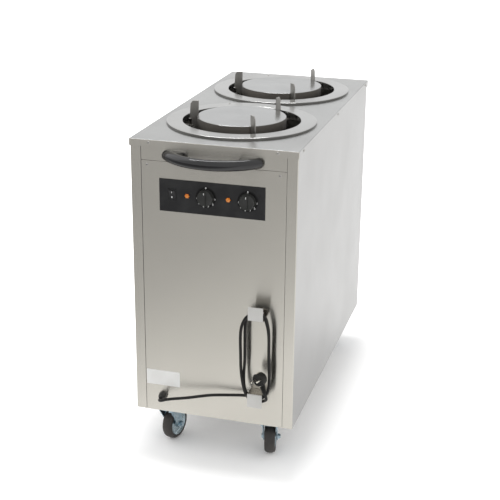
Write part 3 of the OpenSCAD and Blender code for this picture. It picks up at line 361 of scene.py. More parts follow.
# Cable gland: a black nylon gland with a hexagon and a long tapered sleeve that relieves the
# lead where it leaves the panel. It is screwed through the access panel.
def facing_front(x, y, z):
    """A place on a plane that faces the front, with its own Z axis pointing forwards."""
    return Matrix.Translation((x, y, z)) @ turned(90, "X")


black_nylon = moulded_material("black nylon", (0.010, 0.010, 0.010), (0.06, 0.058, 0.055), 0.25,
                               (0.3, 0.42), 700, 0.2)
gland_frame = facing_front(-0.154, front_face, 0.180)
gland_mesh = spin_profile(
    [(0, 0.0005), (0.0114, 0.0005), (0.0114, 0.0115), (0.0108, 0.0130), (0.0102, 0.0145),
     (0.0086, 0.0180), (0.0070, 0.0215), (0.0060, 0.0236), (0.0052, 0.0240), (0.0046, 0.0236),
     (0, 0.0236)], gland_frame, 48)
finished("gland_sleeve", gland_mesh, "cabinet", black_nylon, ["cable_gland"])
hexagon_radius, hexagon_depth = 0.013, 0.006
hexagon = bmesh.new()
bmesh.ops.create_cone(hexagon, cap_ends=True, segments=6, radius1=hexagon_radius, radius2=hexagon_radius,
                      depth=hexagon_depth, matrix=gland_frame @ Matrix.Translation((0, 0, hexagon_depth / 2)))
finished("gland_hexagon", hexagon, "cabinet", black_nylon, bevel=0.0008)


# Cord hooks: two strips of 2 mm stainless bent twice, each screwed to the access panel through
# its foot. The lips are painted light grey: the upper one points up and the lower one down.
def move_new(bm, made, by):
    """Moves the new vertices of an extrusion."""
    bmesh.ops.translate(bm, vec=by, verts=[v for v in made["geom"] if isinstance(v, bmesh.types.BMVert)])


def second_face(piece, material, chosen):
    """Gives the chosen faces of a piece a second material."""
    piece.data.materials.append(material)
    last = len(piece.data.materials) - 1
    for face in piece.data.polygons:
        if chosen(face):
            face.material_index = last


hook_paint = moulded_material("light grey paint", (0.60, 0.595, 0.575), (0.49, 0.48, 0.45), 0.35,
                              (0.34, 0.48), 500, 0.12, coat=0.2)
hook_steel = metal_material("hook steel", (0.42, 0.395, 0.355), (0.26, 0.24, 0.21), (0.16, 0.30),
                            (300, 300, 300), cloud_scale=90, contrast=0.5, bump=0.08)
hook_left, hook_right = 0.1135, 0.1565
lip_start = front_face - 0.038
for label, bend, up in (("upper", 0.4705, 1), ("lower", 0.2430, -1)):
    hook_mesh = bmesh.new()
    strip = [(0.001, bend + up * 0.021), (0.001, bend), (0.041, bend), (0.041, bend + up * 0.0395)]
    row = [hook_mesh.verts.new((hook_left, front_face - s, z)) for s, z in strip]
    row_edges = [hook_mesh.edges.new(pair) for pair in zip(row, row[1:])]
    move_new(hook_mesh, bmesh.ops.extrude_edge_only(hook_mesh, edges=row_edges),
             (hook_right - hook_left, 0, 0))
    bmesh.ops.recalc_face_normals(hook_mesh, faces=hook_mesh.faces)
    hook = finished(label + "_cord_hook", hook_mesh, "cabinet", hook_paint,
                    ["cord_hooks"] if up > 0 else (), bevel=0.0018, wall=0.002, offset=0.0)
    second_face(hook, hook_steel, lambda face: face.center.y > lip_start)


# Casters: pressed steel forks on ball races, plated with blue zinc, and 100 mm wheels with a
# dark rubber tyre on a grey hub. The four heads are screwed up into the tray's channels.
def dress(name, material):
    """Gives a node of the CAD model its material."""
    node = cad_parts[name]
    node.data.materials.clear()
    node.data.materials.append(material)
    return node


def soften(name, material, width):
    """Gives a node its material and slightly rounded edges, with its mesh left as it is."""
    node = dress(name, material)
    weld = node.modifiers.new("weld", "WELD")
    weld.merge_threshold = 0.00001
    round_edges(node, width, 2, 40)
    keep_flat(node)


def both_sides(half):
    """A turned profile made from its half below the middle plane."""
    return half + [(radius, -height) for radius, height in reversed(half) if height]


blue_zinc = metal_material("blue zinc plate", (0.30, 0.42, 0.50), (0.46, 0.52, 0.54), (0.20, 0.36),
                           (260, 260, 260), cloud_scale=45, contrast=0.4, bump=0.08)
wheel_zinc = metal_material("bright zinc plate", (0.46, 0.54, 0.58), (0.20, 0.27, 0.30), (0.20, 0.34),
                            (260, 260, 260), cloud_scale=90, contrast=0.5, bump=0.10)
tyre_rubber = moulded_material("tyre rubber", (0.022, 0.019, 0.017), (0.13, 0.115, 0.10), 0.35,
                               (0.5, 0.68), 800, 0.35)
caster_places = (("front_left", -0.158, -0.3956, -13), ("front_right", 0.158, -0.3956, 11),
                 ("rear_left", -0.158, 0.4684, 188), ("rear_right", 0.158, 0.4684, 173))
trail = 0.034
wheel_radius = 0.050
tyre_profile = both_sides([
    (0.0381, -0.0135), (0.0390, -0.0160), (0.0430, -0.0160), (0.0452, -0.0148), (0.0470, -0.0130),
    (0.0484, -0.0105), (0.0494, -0.0075), (0.0499, -0.004), (wheel_radius, 0)])
hub_profile = both_sides([
    (0.0061, -0.0174), (0.0120, -0.0174), (0.0132, -0.0165), (0.0142, -0.0120), (0.0275, -0.0088),
    (0.0320, -0.0100), (0.0350, -0.0140), (0.0368, -0.0146), (0.0380, -0.0134)])
soften("caster_heads", blue_zinc, 0.0006)
for label, x, y, turn in caster_places:
    soften(label + "_fork", blue_zinc, 0.0007)
    axle = (Matrix.Translation((x, y, 0)) @ turned(turn, "Z")
            @ Matrix.Translation((0, trail, wheel_radius)) @ turned(90, "Y"))
    finished(label + "_wheel_tyre", spin_profile(tyre_profile, axle, 96), label + "_wheel_body",
             tyre_rubber, [label + "_tyre"], angle=50)
    finished(label + "_wheel_hub", spin_profile(hub_profile, axle, 64), label + "_wheel_body",
             wheel_zinc, [label + "_wheel"], angle=40)


# Tray: 1.5 mm stainless with turned-up edges, two channels for the casters and six sockets.
# It is welded between the side panels and carries everything inside.
inner_steel = metal_material("mill finish sheet", (0.55, 0.54, 0.52), (0.42, 0.41, 0.39), (0.30, 0.42),
                             (400, 12, 400), contrast=0.25, bump=0.08)
dress("base_tray", inner_steel)


# Side panels: 1.5 mm stainless, brushed along the cabinet, folded at the front, back, top and
# bottom. The bends have a radius of about 2.5 mm.
def sheet_steel(name, stretch, tangent=None, colour=(0.620, 0.597, 0.543), second=(0.580, 0.557, 0.502)):
    """Brushed stainless sheet, its reflections drawn out across the grain."""
    return metal_material(name, colour, second, (0.23, 0.27), stretch, cloud_scale=4.0, contrast=0.35,
                          bump=0.06, anisotropic=0.95, tangent=tangent)


def open_shell(low, high, drop):
    """A box's skin without the faces whose outward directions are listed in drop."""
    bm = bmesh.new()
    block(bm, low, high)
    bmesh.ops.recalc_face_normals(bm, faces=bm.faces)
    gone = [f for f in bm.faces if any(f.normal.dot(Vector(d)) > 0.9 for d in drop)]
    bmesh.ops.delete(bm, geom=gone, context="FACES")
    return bm


# The side sheet is the same stainless as the front but coloured much darker, a painted shade on the sides.
# The returns facing front and back take the front sheet's lighter colour.
side_sheet_painted_shade = sheet_steel("brushed side sheet with painted shade", (900, 5, 900), None, (0.365, 0.362, 0.356),
                         (0.335, 0.331, 0.322))
front_steel = sheet_steel("brushed front sheet", (5, 900, 900))
sheet_t = 0.0015
back_face = 0.5184
side_out, side_edge = 0.237, 0.207
panel_low, lid_under = 0.128, 0.9485
top_fold, bottom_fold = 0.015, 0.018
for label, side in (("left", -1), ("right", 1)):
    xs = sorted((side * side_edge, side * side_out))
    shell = open_shell((xs[0], front_face, panel_low), (xs[1], back_face, lid_under), [(-side, 0, 0)])
    for up, width in ((1, top_fold), (-1, bottom_fold)):
        face = [f for f in shell.faces if f.normal.z * up > 0.9]
        bmesh.ops.bisect_plane(shell, geom=face + list(face[0].edges), dist=1e-6,
                               plane_co=(side * (side_out - width), 0, 0), plane_no=(1, 0, 0))
        inner = [f for f in shell.faces if f.normal.z * up > 0.9
                 and abs(f.calc_center_median().x) < side_out - width]
        bmesh.ops.delete(shell, geom=inner, context="FACES")
    side_panel = finished(label + "_side", shell, "cabinet", side_sheet_painted_shade, [label + "_side_panel"],
                          bevel=0.0024, wall=sheet_t)
    second_face(side_panel, front_steel, lambda face: abs(face.normal.y) > 0.7)


# Back panel: a stainless pan between the side panels' returns, with two rows of vent slots,
# screwed to the lugs behind it.
dress("back_panel", front_steel)


# Front panels: two stainless pans with 12 mm folds between the returns. The upper one carries
# the handle, and the lower one, the access panel, is fixed by two screws at its top.
half_front = 0.206
split = 0.8915
front_fold = front_face + 0.012
seam = 0.001
upper = open_shell((-half_front, front_face, split), (half_front, front_fold, lid_under - 2 * seam),
                   [(0, 1, 0)])
finished("upper_panel", upper, "cabinet", front_steel, ["upper_front_panel"],
         bevel=0.0006, wall=sheet_t)
access = open_shell((-half_front, front_face, panel_low + seam), (half_front, front_fold, split - seam),
                    [(0, 1, 0), (0, 0, -1)])
finished("lower_panel", access, "cabinet", front_steel, ["access_panel"],
         bevel=0.0006, wall=sheet_t)


# Control panel: a matt black coated plate riveted over the switch gear's holes, with white
# dial numbers printed round each knob.
def printed(name, marks, body, material):
    """Print as thin solid text: marks are (text, size, place) with the text facing -Y."""
    print_mesh = bmesh.new()
    for text, size, place in marks:
        letter = bpy.data.curves.new("print", "FONT")
        letter.body = text
        letter.size = size
        letter.align_x = "CENTER"
        letter.align_y = "CENTER"
        letter.extrude = 0.00006
        letter.offset = 0.00025
        holder = placed("print", letter)
        flat = mesh_of(holder)
        flat.transform(place)
        print_mesh.from_mesh(flat)
        bpy.data.objects.remove(holder)
        bpy.data.meshes.remove(flat)
    finished(name, print_mesh, body, material)


panel_black = moulded_material("matt black coating", (0.016, 0.016, 0.017), (0.055, 0.055, 0.055), 0.3,
                               (0.42, 0.55), 900, 0.12, gloss=0.3)
white_ink = moulded_material("white ink", (0.92, 0.92, 0.91), (0.74, 0.74, 0.73), 0.3, (0.4, 0.5), 900,
                             0.05)
plate_left, plate_right, plate_low, plate_high = -0.154, 0.148, 0.7505, 0.8435
plate_face = front_face - 0.0015
plate_mesh = bmesh.new()
block(plate_mesh, (plate_left, plate_face, plate_low), (plate_right, front_face, plate_high))
finished("control_plate", plate_mesh, "cabinet", panel_black, ["control_panel"],
         bevel=0.0004)
control_z = 0.800
knob_places = (("front", -0.0195), ("rear", 0.099))
number_circle, number_size = 0.0265, 0.0070
numbers = []
for label, x in knob_places:
    for number, clock in enumerate((0, 97, 132, 164, 195, 228, 259)):
        angle = math.radians(clock)
        numbers.append((str(number), number_size, facing_front(
            x + number_circle * math.sin(angle), plate_face - 0.0005,
            control_z + number_circle * math.cos(angle))))
printed("dial_numbers", numbers, "cabinet", white_ink)


# Rocker switch: a glossy black moulded rocker that tips in a snap-in frame, pushed in from the
# panel's front and marked I and 0 in white.
def prism(outline, by, place=Matrix.Identity(4)):
    """A flat outline pushed out into a solid and set in its place."""
    bm = bmesh.new()
    flat = bm.faces.new([bm.verts.new(corner) for corner in outline])
    move_new(bm, bmesh.ops.extrude_face_region(bm, geom=[flat]), by)
    bmesh.ops.recalc_face_normals(bm, faces=bm.faces)
    bmesh.ops.transform(bm, matrix=place, verts=bm.verts)
    return bm


switch_black = moulded_material("glossy black switch", (0.016, 0.016, 0.017), (0.06, 0.06, 0.06), 0.2,
                                (0.16, 0.26), 700, 0.06)
soften("switch_housing", switch_black, 0.0005)
switch_x = -0.117
rocker_half = 0.009
rocker_place = Matrix.Translation((switch_x, plate_face, control_z)) @ turned(8, "X")
rocker_mesh = prism([(-rocker_half, y, z) for y, z in (
    (-0.0020, 0), (-0.0034, -0.013), (0.004, -0.012), (0.006, 0), (0.004, 0.012), (-0.0034, 0.013))],
    (2 * rocker_half, 0, 0), rocker_place)
finished("rocker_body", rocker_mesh, "rocker", switch_black, ["switch_rocker"], bevel=0.0006)
tip = math.degrees(math.atan2(0.0014, 0.013))
printed("rocker_marks", [
    (text, 0.0065, rocker_place @ Matrix.Translation((0, -0.0029, z)) @ turned(90 + lean, "X"))
    for text, z, lean in (("I", 0.0070, tip), ("0", -0.0070, -tip))], "rocker", white_ink)


# Pilot lamps: faceted amber plastic lenses in black bezels, each pressed through the plate
# from the front as one sealed lamp.
amber = moulded_material("amber lens", (0.85, 0.22, 0.008), (1.0, 0.46, 0.04), 0.8, (0.08, 0.16), 500, 0.1,
                         coat=0.5)
# The faint orange emission is a painted glow: the lamps are not lit.
feed(amber.node_tree, amber.node_tree.nodes["Principled BSDF"], {
    "Transmission Weight": 0.35, "Emission Color": (1.0, 0.30, 0.02, 1), "Emission Strength": 0.12})
facet_waist = 0.74
bezel_mesh, lens_mesh = bmesh.new(), bmesh.new()
for x in (-0.073, 0.0445):
    lamp_place = facing_front(x, plate_face, control_z)
    join(bezel_mesh, spin_profile(
        [(0.0060, 0), (0.0080, 0), (0.0080, 0.0014), (0.0076, 0.0020), (0.0070, 0.0023),
         (0.0063, 0.0021), (0.0060, 0.0016)], lamp_place, 48))
    lens = spin_profile([(0, -0.003), (0.0055, -0.003), (0.0055, 0.0025), (0.0074, 0.0026), (0.0062, 0.0042),
                         (0.0028, 0.0053), (0, 0.0054)], lamp_place, 12)
    for v in lens.verts:
        if round(math.degrees(math.atan2(v.co.z - control_z, v.co.x - x)) / 30) % 2:
            v.co.x = x + (v.co.x - x) * facet_waist
            v.co.z = control_z + (v.co.z - control_z) * facet_waist
    join(lens_mesh, lens)
finished("lamp_rings", bezel_mesh, "cabinet", switch_black, ["lamp_bezels"])
finished("amber_lenses", lens_mesh, "cabinet", amber, ["lamp_lenses"], angle=15)


# Thermostat knobs: moulded black knobs pushed on the spindles, each with a raised grip bar
# across it and a white index mark, over a thin black dial plate.
def cut_away(bm, point, outward):
    """Cuts off what lies beyond a plane and closes the cut."""
    cut = bmesh.ops.bisect_plane(bm, geom=bm.verts[:] + bm.edges[:] + bm.faces[:], dist=1e-6,
                                 plane_co=point, plane_no=outward, clear_outer=True)
    bmesh.ops.holes_fill(bm, edges=[e for e in cut["geom_cut"] if isinstance(e, bmesh.types.BMEdge)])


knob_black = moulded_material("knob plastic", (0.028, 0.029, 0.027), (0.08, 0.08, 0.08), 0.25,
                              (0.30, 0.42), 800, 0.12, gloss=0.4)
dial_black = moulded_material("dial plate", (0.006, 0.006, 0.006), (0.03, 0.03, 0.03), 0.2,
                              (0.30, 0.40), 800, 0.06, gloss=0.25)
knob_depth, knob_face = 0.018, 0.0135
dial_radius, dial_t = 0.0295, 0.0004
grip_half, grip_reach = 0.0186, 0.0199
for label, x in knob_places:
    knob_place = facing_front(x, plate_face - 0.001, control_z)
    plate_disc = spin_profile([(0, 0), (dial_radius, 0), (dial_radius, dial_t / 2), (0.0292, dial_t),
                               (0, dial_t)], facing_front(x, plate_face, control_z), 72)
    finished(label + "_dial_plate", plate_disc, "cabinet", dial_black)
    knob_mesh = spin_profile(
        [(0.006, 0), (0.0210, 0), (0.0230, 0.0002), (0.0235, 0.0008), (0.0235, 0.0021), (0.0231, 0.0029),
         (0.0227, 0.0036), (0.0220, 0.0080), (0.0215, 0.0118), (0.0211, 0.0128), (0.0203, knob_face),
         (0, knob_face), (0, 0.006), (0.006, 0.006)], knob_place, 72)
    finished(label + "_knob_body", knob_mesh, label + "_knob", knob_black, [label + "_dial_knob"],
             angle=30)
    grip = prism([(u, -grip_half, out) for u, out in (
        (-0.0150, 0.0125), (-0.0135, 0.0140), (-0.0020, knob_depth), (0.0030, knob_depth), (0.0030, 0.0125))],
        (0, 2 * grip_half, 0))
    for angle in range(0, 360, 12):
        away = Vector((math.cos(math.radians(angle)), math.sin(math.radians(angle)), 0))
        cut_away(grip, away * grip_reach, away)
    bmesh.ops.recalc_face_normals(grip, faces=grip.faces)
    bmesh.ops.transform(grip, matrix=knob_place, verts=grip.verts)
    finished(label + "_knob_grip", grip, label + "_knob", knob_black, bevel=0.0007,
             angle=25)
    index = bmesh.new()
    block(index, (-0.0012, 0.0120, knob_depth - 0.0001), (0.0002, 0.0178, knob_depth + 0.00015), knob_place)
    finished(label + "_knob_index", index, label + "_knob", white_ink)


# Blank label: a plain white film label, 102 by 47 mm, stuck on the access panel near the
# gland.
label_white = moulded_material("white film", (0.84, 0.84, 0.82), (0.74, 0.73, 0.70), 0.4,
                               (0.3, 0.42), 250, 0.05)
label_mesh = bmesh.new()
block(label_mesh, (-0.204, front_face - 0.0005, 0.2125), (-0.102, front_face, 0.2595))
finished("label_film", label_mesh, "cabinet", label_white, ["blank_label"], bevel=0.0002)


# Bow handle: one black moulding, a 30 mm grip on an arc with a foot at each end, bolted from
# behind through the upper front panel.
handle_black = moulded_material("handle plastic", (0.004, 0.004, 0.005), (0.03, 0.03, 0.028), 0.22,
                                (0.03, 0.06), 500, 0.01, gloss=0.6)
grip_radius, bow, half_span, handle_z = 0.015, 0.063, 0.132, 0.910
arc_radius = (half_span ** 2 + bow ** 2) / (2 * bow)
arc_angle = math.asin(half_span / arc_radius)
arc_middle = Vector((0, front_face + arc_radius - bow, handle_z))
handle_mesh = bmesh.new()
circle = bmesh.ops.create_circle(handle_mesh, segments=40, radius=grip_radius, cap_ends=True)["verts"]
start = (Matrix.Translation(arc_middle) @ Matrix.Rotation(-math.pi / 2 - arc_angle, 4, "Z")
         @ Matrix.Translation((arc_radius, 0, 0)) @ Matrix.Rotation(math.pi / 2, 4, "X"))
bmesh.ops.transform(handle_mesh, matrix=start, verts=circle)
bmesh.ops.spin(handle_mesh, geom=list(handle_mesh.faces), cent=arc_middle, axis=(0, 0, 1),
               angle=2 * arc_angle, steps=72, use_merge=False)
for side in (-1, 1):
    foot = bmesh.new()
    for x, s, radius in ((0.118, 0.002, 0.014), (0.084, 0.002, 0.012), (0.118, -0.003, 0.014),
                         (0.084, -0.003, 0.012), (0.112, 0.018, 0.014), (0.098, 0.030, 0.0135)):
        bmesh.ops.create_uvsphere(foot, u_segments=32, v_segments=20, radius=radius,
                                  matrix=Matrix.Translation((side * x, front_face - s, handle_z)))
    bmesh.ops.convex_hull(foot, input=foot.verts)
    loose = [v for v in foot.verts if not v.link_faces]
    bmesh.ops.delete(foot, geom=loose, context="VERTS")
    join(handle_mesh, foot)
bmesh.ops.recalc_face_normals(handle_mesh, faces=handle_mesh.faces)
rough_shape = bpy.data.meshes.new("handle_rough")
handle_mesh.to_mesh(rough_shape)
handle_mesh.free()
rough_handle = placed("handle_rough", rough_shape)
skin = rough_handle.modifiers.new("skin", "REMESH")
skin.mode = "VOXEL"
skin.voxel_size = 0.0016
relax = rough_handle.modifiers.new("relax", "SMOOTH")
relax.iterations = 12
relax.factor = 0.5
handle_mesh = bmesh.new()
handle_mesh.from_mesh(mesh_of(rough_handle))
bpy.data.objects.remove(rough_handle)
cut_away(handle_mesh, (0, front_face, 0), (0, 1, 0))
finished("bow_handle", handle_mesh, "cabinet", handle_black, ["handle"], angle=45)
dress("handle_bolts", blue_zinc)


# Well liners: spun stainless cans hung from the lid, each with three slots for the lift's
# arms, three guide bosses and a pierced floor. Rods, lifts and heating sit round them.
liner_steel = metal_material("spun liner", (0.38, 0.37, 0.35), (0.27, 0.26, 0.245), (0.26, 0.40),
                             (500, 500, 10), contrast=0.4, bump=0.1, anisotropic=0.6)
rod_steel = metal_material("ground rod", (0.66, 0.65, 0.63), (0.52, 0.51, 0.49), (0.14, 0.22), (500, 500, 20),
                           bump=0.03)
spring_steel = metal_material("spring steel", (0.40, 0.40, 0.41), (0.30, 0.30, 0.31), (0.26, 0.4),
                              (40, 40, 420), contrast=0.9, bump=0.5)
sheath = metal_material("element sheath", (0.22, 0.20, 0.18), (0.12, 0.11, 0.10), (0.38, 0.55),
                        (300, 300, 300), cloud_scale=40, contrast=0.5, bump=0.15)
tinned_steel = metal_material("tinned case", (0.62, 0.60, 0.55), (0.50, 0.48, 0.43), (0.28, 0.42),
                              (200, 200, 200), cloud_scale=30)
nylon = moulded_material("white nylon", (0.74, 0.73, 0.69), (0.60, 0.58, 0.52), 0.4, (0.34, 0.48), 500, 0.1)
wire_black = moulded_material("wire sleeving", (0.03, 0.03, 0.035), (0.08, 0.08, 0.08), 0.3,
                              (0.35, 0.5), 900, 0.1)
for label in ("front", "rear"):
    for part, material in (("_well_liner", liner_steel), ("_carrier", inner_steel),
                           ("_slide_bushes", nylon), ("_lift_springs", spring_steel)):
        dress(label + part, material)
for name, material in (("guide_rods", rod_steel), ("stop_buffers", tyre_rubber), ("heating_elements", sheath),
                       ("terminal_block", nylon), ("wiring_loom", wire_black), ("thermostats", tinned_steel)):
    dress(name, material)


# Lift platforms: pressed and polished stainless discs with a rolled edge and a 30 mm skirt,
# bolted on the three posts of the carrier.
def turned_steel(name, y, colour, second, rough):
    """Polished steel whose fine marks run round the well at y."""
    return metal_material(name, colour, second, rough, (1400, 0, 0), (0, y), cloud_scale=9.0, contrast=0.25,
                          bump=0.03, anisotropic=0.6)


def dress_walls(piece, material, radius, y):
    """Gives the upright faces of a piece round the well at y, near a radius, a darker material: a painted
    shade.
    """
    second_face(piece, material, lambda face: abs(face.normal.z) < 0.5 and abs(
        Vector((face.center.x, face.center.y - y)).length - radius) < 0.0012)


wells = (("front", -0.1716), ("rear", 0.2784))
# The skirt is the same pressed steel as the top, coloured much darker: a painted shade on its upright faces.
platform_skirt_painted_shade = metal_material("platform skirt painted shade", (0.20, 0.185, 0.165), (0.10, 0.09, 0.08), (0.36, 0.46),
                             (300, 300, 900), contrast=0.4, bump=0.06, anisotropic=0.9)
platform_radius = r = 0.1285
platform_top = 0.9665
platform_profile = [
    (0, 0), (0.060, 0), (r - 0.006, 0), (r - 0.0016, -0.00005), (r - 0.0009, -0.0002),
    (r - 0.0003, -0.0007), (r, -0.0016), (r, -0.0295), (r - 0.0004, -0.030), (r - 0.0012, -0.030),
    (r - sheet_t, -0.0295), (r - sheet_t, -0.0022), (r - 0.0022, -sheet_t), (0, -sheet_t)]
for label, y in wells:
    platform_steel = turned_steel(label + " platform steel", y, (0.39, 0.395, 0.395), (0.33, 0.335, 0.335),
                                  (0.14, 0.22))
    platform_mesh = spin_profile(platform_profile, Matrix.Translation((0, y, platform_top)), 160)
    platform = finished(label + "_lift_platform", platform_mesh, label + "_lift", platform_steel,
                        [label + "_platform"], angle=30)
    dress_walls(platform, platform_skirt_painted_shade, platform_radius, y)


# Plate guides: 3 mm polished stainless blades welded to pivot rods, set to a plate's size by
# turning. Their tops stand 50 mm above the lid.
guide_steel = metal_material("polished blade", (0.36, 0.35, 0.33), (0.27, 0.26, 0.245), (0.32, 0.42),
                             (300, 300, 12), contrast=0.3, bump=0.04, anisotropic=0.3)
guide_circle = 0.157
blade_t = 0.003
blade_outline = [(u, -blade_t / 2, z) for u, z in (
    (0, 0.1865), (0.025, 0.1865), (0.025, 1.000), (0.007, 1.000), (0.001, 0.992), (-0.002, 0.948),
    (0, 0.9285), (0.013, 0.9285), (0.013, 0.9237), (0, 0.9237))]
pivot_profile = [(0, 0.1668), (0.0036, 0.1668), (0.004, 0.1672), (0.004, 0.9476), (0.0036, 0.948), (0, 0.948)]
for label, y in wells:
    for side, turn in (("left", 180), ("near", 300), ("far", 60)):
        guide = label + "_" + side
        place = (Matrix.Translation((0, y, 0)) @ turned(turn, "Z")
                 @ Matrix.Translation((guide_circle, 0, 0)) @ turned(195, "Z"))
        finished(guide + "_blade", prism(blade_outline, (0, blade_t, 0), place), guide + "_guide_body",
                 guide_steel, [guide + "_guide"], bevel=0.0007)
        finished(guide + "_pivot", spin_profile(pivot_profile, place, 32), guide + "_guide_body",
                 rod_steel)


# Lid: one 1.5 mm stainless sheet with a 20 mm skirt all round and two holes for the wells,
# brushed along its length.
# The lid sheet is coloured darker than the front sheet, a painted shade on its top.
lid_sheet_painted_shade = sheet_steel("brushed lid sheet with painted shade", (900, 5, 900), "X", (0.44, 0.445, 0.44), (0.32, 0.32, 0.315))
lid_top, lid_half, lid_front, lid_back, skirt = 0.950, 0.240, -0.4486, 0.5214, 0.020
well_hole = 0.1745
lid_mesh = bmesh.new()
corners = [lid_mesh.verts.new((x, y, lid_top)) for x, y in
           ((-lid_half, lid_front), (lid_half, lid_front), (lid_half, lid_back), (-lid_half, lid_back))]
border = [lid_mesh.edges.new((corners[i], corners[(i + 1) % 4])) for i in range(4)]
holes = []
for _, y in wells:
    hole_verts = bmesh.ops.create_circle(lid_mesh, segments=128, radius=well_hole, cap_ends=False,
                                         matrix=Matrix.Translation((0, y, lid_top)))["verts"]
    holes += list({e for v in hole_verts for e in v.link_edges})
bmesh.ops.triangle_fill(lid_mesh, use_beauty=True, use_dissolve=False, edges=border + holes, normal=(0, 0, 1))
move_new(lid_mesh, bmesh.ops.extrude_edge_only(lid_mesh, edges=border), (0, 0, -skirt))
bmesh.ops.recalc_face_normals(lid_mesh, faces=lid_mesh.faces)
lid_sheet = finished("lid_sheet", lid_mesh, "cabinet", lid_sheet_painted_shade, ["lid_top"], bevel=0.0022,
                     wall=sheet_t)
# The skirt's front and back faces take the lighter front sheet and its ends the darker side sheet: painted
# light and shade by facing.
for material, facing_y in ((front_steel, True), (side_sheet_painted_shade, False)):
    second_face(lid_sheet, material, lambda face: abs(face.normal.z) < 0.6 and face.center.z < lid_top - 0.001
                and (abs(face.normal.y) > 0.6) == facing_y)


# Well rings: turned and polished stainless rings pressed over the wells' edges, 6 mm proud of
# the lid, each held by a screw on its flat.
# The rings' upright outer faces are coloured much darker than their polished tops: a painted shade line round
# each ring.
ring_edge_painted_shade = metal_material("turned ring edge painted shade", (0.20, 0.195, 0.185), (0.12, 0.118, 0.112), (0.25, 0.35),
                            (300, 300, 900), contrast=0.5, bump=0.05, anisotropic=0.8)
ring_radius, ring_inside, ring_top = 0.217, 0.1705, 0.956
a, b, z = ring_inside, ring_radius, ring_top
ring_profile = [
    (a, z - 0.0200), (a, z - 0.0020), (a + 0.0004, z - 0.0008), (a + 0.0014, z), (b - 0.0030, z),
    (b - 0.0014, z - 0.0003), (b - 0.0004, z - 0.0011), (b, z - 0.0024), (b, lid_top),
    (b - sheet_t, lid_top), (b - 0.0022, z - 0.0036), (b - 0.0065, z - sheet_t),
    (a + sheet_t, z - sheet_t), (a + sheet_t, z - 0.0200)]
for label, y in wells:
    ring_steel = turned_steel(label + " polished steel", y, (0.455, 0.455, 0.45), (0.385, 0.385, 0.375),
                              (0.16, 0.24))
    ring_mesh = spin_profile(ring_profile, Matrix.Translation((0, y, 0)), 160)
    ring = finished(label + "_ring", ring_mesh, "cabinet", ring_steel, [label + "_well_ring"],
                    angle=30)
    dress_walls(ring, ring_edge_painted_shade, ring_radius, y)


# Screws: stainless pan heads in the lid's skirt, the front and back panels, the hooks' feet and the rings.
# Each socket is floored with a near-black disc, a painted shade.
def screw_at(place, radius=0.0038, height=0.0021):
    """Adds a pan head with a socket, its seat on the place's plane, and the socket's floor, a dark disc of
    painted shade.
    """
    join(screws, spin_profile([
        (0, height * 0.45), (radius * 0.30, height * 0.5), (radius * 0.34, height * 0.97),
        (radius * 0.55, height), (radius * 0.78, height * 0.82), (radius * 0.94, height * 0.5),
        (radius, height * 0.15), (radius, -0.0002), (0, -0.0002)], place, 24))
    join(sockets, spin_profile([(0, height * 0.72), (radius * 0.33, height * 0.72),
                                (radius * 0.33, height * 0.5), (0, height * 0.5)], place, 6))


screw_steel = metal_material("screw steel", (0.52, 0.51, 0.49), (0.42, 0.41, 0.39), (0.16, 0.26),
                             (500, 500, 500), cloud_scale=80)
socket_floor_painted_shade = moulded_material("socket shade", (0.02, 0.019, 0.018), (0.06, 0.055, 0.05), 0.4,
                               (0.5, 0.7), 900, 0.1)
screws, sockets = bmesh.new(), bmesh.new()
skirt_screw_z = 0.9414
side_screw_inset = 0.0455
to_back = Matrix.Rotation(math.pi, 4, "Y")
for x in (-0.182, 0.182):
    screw_at(facing_front(x, lid_front, skirt_screw_z))
    screw_at(facing_front(-x, lid_back, skirt_screw_z) @ to_back)
for x in (-0.188, 0.188):
    screw_at(facing_front(x, front_face, 0.8795))
    for z in (0.168, 0.870):
        screw_at(facing_front(x, back_face, z) @ to_back)
for y in (front_face + side_screw_inset, (front_face + back_face) / 2, back_face - side_screw_inset):
    for side in (-1, 1):
        screw_at(Matrix.Translation((side * lid_half, y, skirt_screw_z)) @ turned(side * 90, "Y"),
                 height=0.0020)
screw_circle, clock = 0.206, math.radians(117)
screw_x, screw_y = screw_circle * math.cos(clock), screw_circle * math.sin(clock)
for _, y in wells:
    screw_at(Matrix.Translation((screw_x, y + screw_y, ring_top)), 0.0032, 0.0016)
for x in (0.125, 0.145):
    for z in (0.4805, 0.233):
        screw_at(facing_front(x, front_face - 0.002, z), 0.0036, 0.0018)
finished("screw_heads", screws, "cabinet", screw_steel, ["cover_screws"])
finished("screw_sockets", sockets, "cabinet", socket_floor_painted_shade)


# Studio: a white floor, painted darker in places and given a painted glow, that keeps the cabinet's shadow
# near it, white all round, one large soft lamp at the upper left and a narrow one overhead that draws the
# line along the handle.
def ray_kind(tree):
    """1 for rays from the camera, glossy and transmission rays, and 1 for the camera's alone."""
    path = add_node(tree, "LightPath").outputs
    glossy = calculated(tree, "MAXIMUM", path["Is Camera Ray"], path["Is Glossy Ray"])
    return calculated(tree, "MAXIMUM", glossy, path["Is Transmission Ray"]), path["Is Camera Ray"]


def vector_node(tree, operation, *values):
    """A Vector Math node's outputs."""
    return add_node(tree, "VectorMath", dict(enumerate(values)), operation=operation).outputs


white = (1, 1, 1, 1)
floor_material, tree, place = new_material("studio floor")
seen, by_camera = ray_kind(tree)
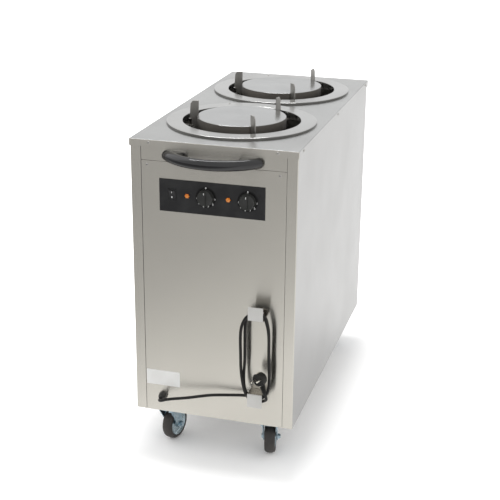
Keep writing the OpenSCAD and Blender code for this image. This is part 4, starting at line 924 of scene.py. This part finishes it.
# For all but the camera the floor is painted darker in front of the cabinet and to its left, a painted shade
# that the metal front reflects as its shade.
across = vector_node(tree, "DOT_PRODUCT", place, (1.1, 1, 0))["Value"]
bright = mixed(tree, "FLOAT", by_camera, spread(tree, across, 0.30, 1.0, -2.45, -0.80), 1.0)
# The floor glows, a painted light: faintly near the cabinet's footprint and strongly away from it, where the
# camera sees plain white. Glossy rays see a faint glow too.
footprint = (0.24, 0.50, 0)
beyond = vector_node(tree, "SUBTRACT", vector_node(tree, "ABSOLUTE", place)[0], footprint)[0]
gap = vector_node(tree, "LENGTH", vector_node(tree, "MAXIMUM", beyond)[0])["Value"]
painted_floor_glow = mixed(tree, "FLOAT", by_camera, calculated(tree, "MULTIPLY", seen, 0.2),
             spread(tree, gap, 0.08, 0.95, 0.0, 0.26))
tone = add_node(tree, "CombineColor", {"Red": bright, "Green": bright, "Blue": bright}).outputs["Color"]
feed(tree, tree.nodes["Principled BSDF"], {
    "Base Color": tone, "Roughness": 0.9, "Specular IOR Level": 0.1, "Emission Color": white,
    "Emission Strength": calculated(tree, "MULTIPLY", painted_floor_glow, bright)})
floor_mesh = bmesh.new()
bmesh.ops.create_grid(floor_mesh, x_segments=1, y_segments=1, size=40)
floor_data = bpy.data.meshes.new("floor")
floor_mesh.to_mesh(floor_data)
floor_mesh.free()
floor_data.materials.append(floor_material)
floor = placed("floor", floor_data)

world = bpy.data.worlds.new("studio")
bpy.context.scene.world = world
world.use_nodes = True
tree = world.node_tree
seen, by_camera = ray_kind(tree)
feed(tree, tree.nodes["Background"], {"Color": white, "Strength": mixed(tree, "FLOAT", seen, 0.95, 1.0)})

for name, width, depth, energy, stand, target in (
        ("soft_lamp", 3.0, 3.0, 16, (-2.7, -0.1, 2.9), (0, 0, 0.4)),
        ("top_lamp", 1.8, 0.25, 20, (-0.5, 0.4, 3.1), (0, -0.5, 0.9))):
    lamp_data = bpy.data.lights.new(name, "AREA")
    lamp_data.shape = "RECTANGLE"
    lamp_data.size, lamp_data.size_y, lamp_data.energy = width, depth, energy
    lamp = placed(name, lamp_data)
    lamp.location = stand
    lamp.rotation_euler = (Vector(target) - lamp.location).to_track_quat("-Z", "Y").to_euler()

bpy.context.scene.view_settings.view_transform = "Standard"
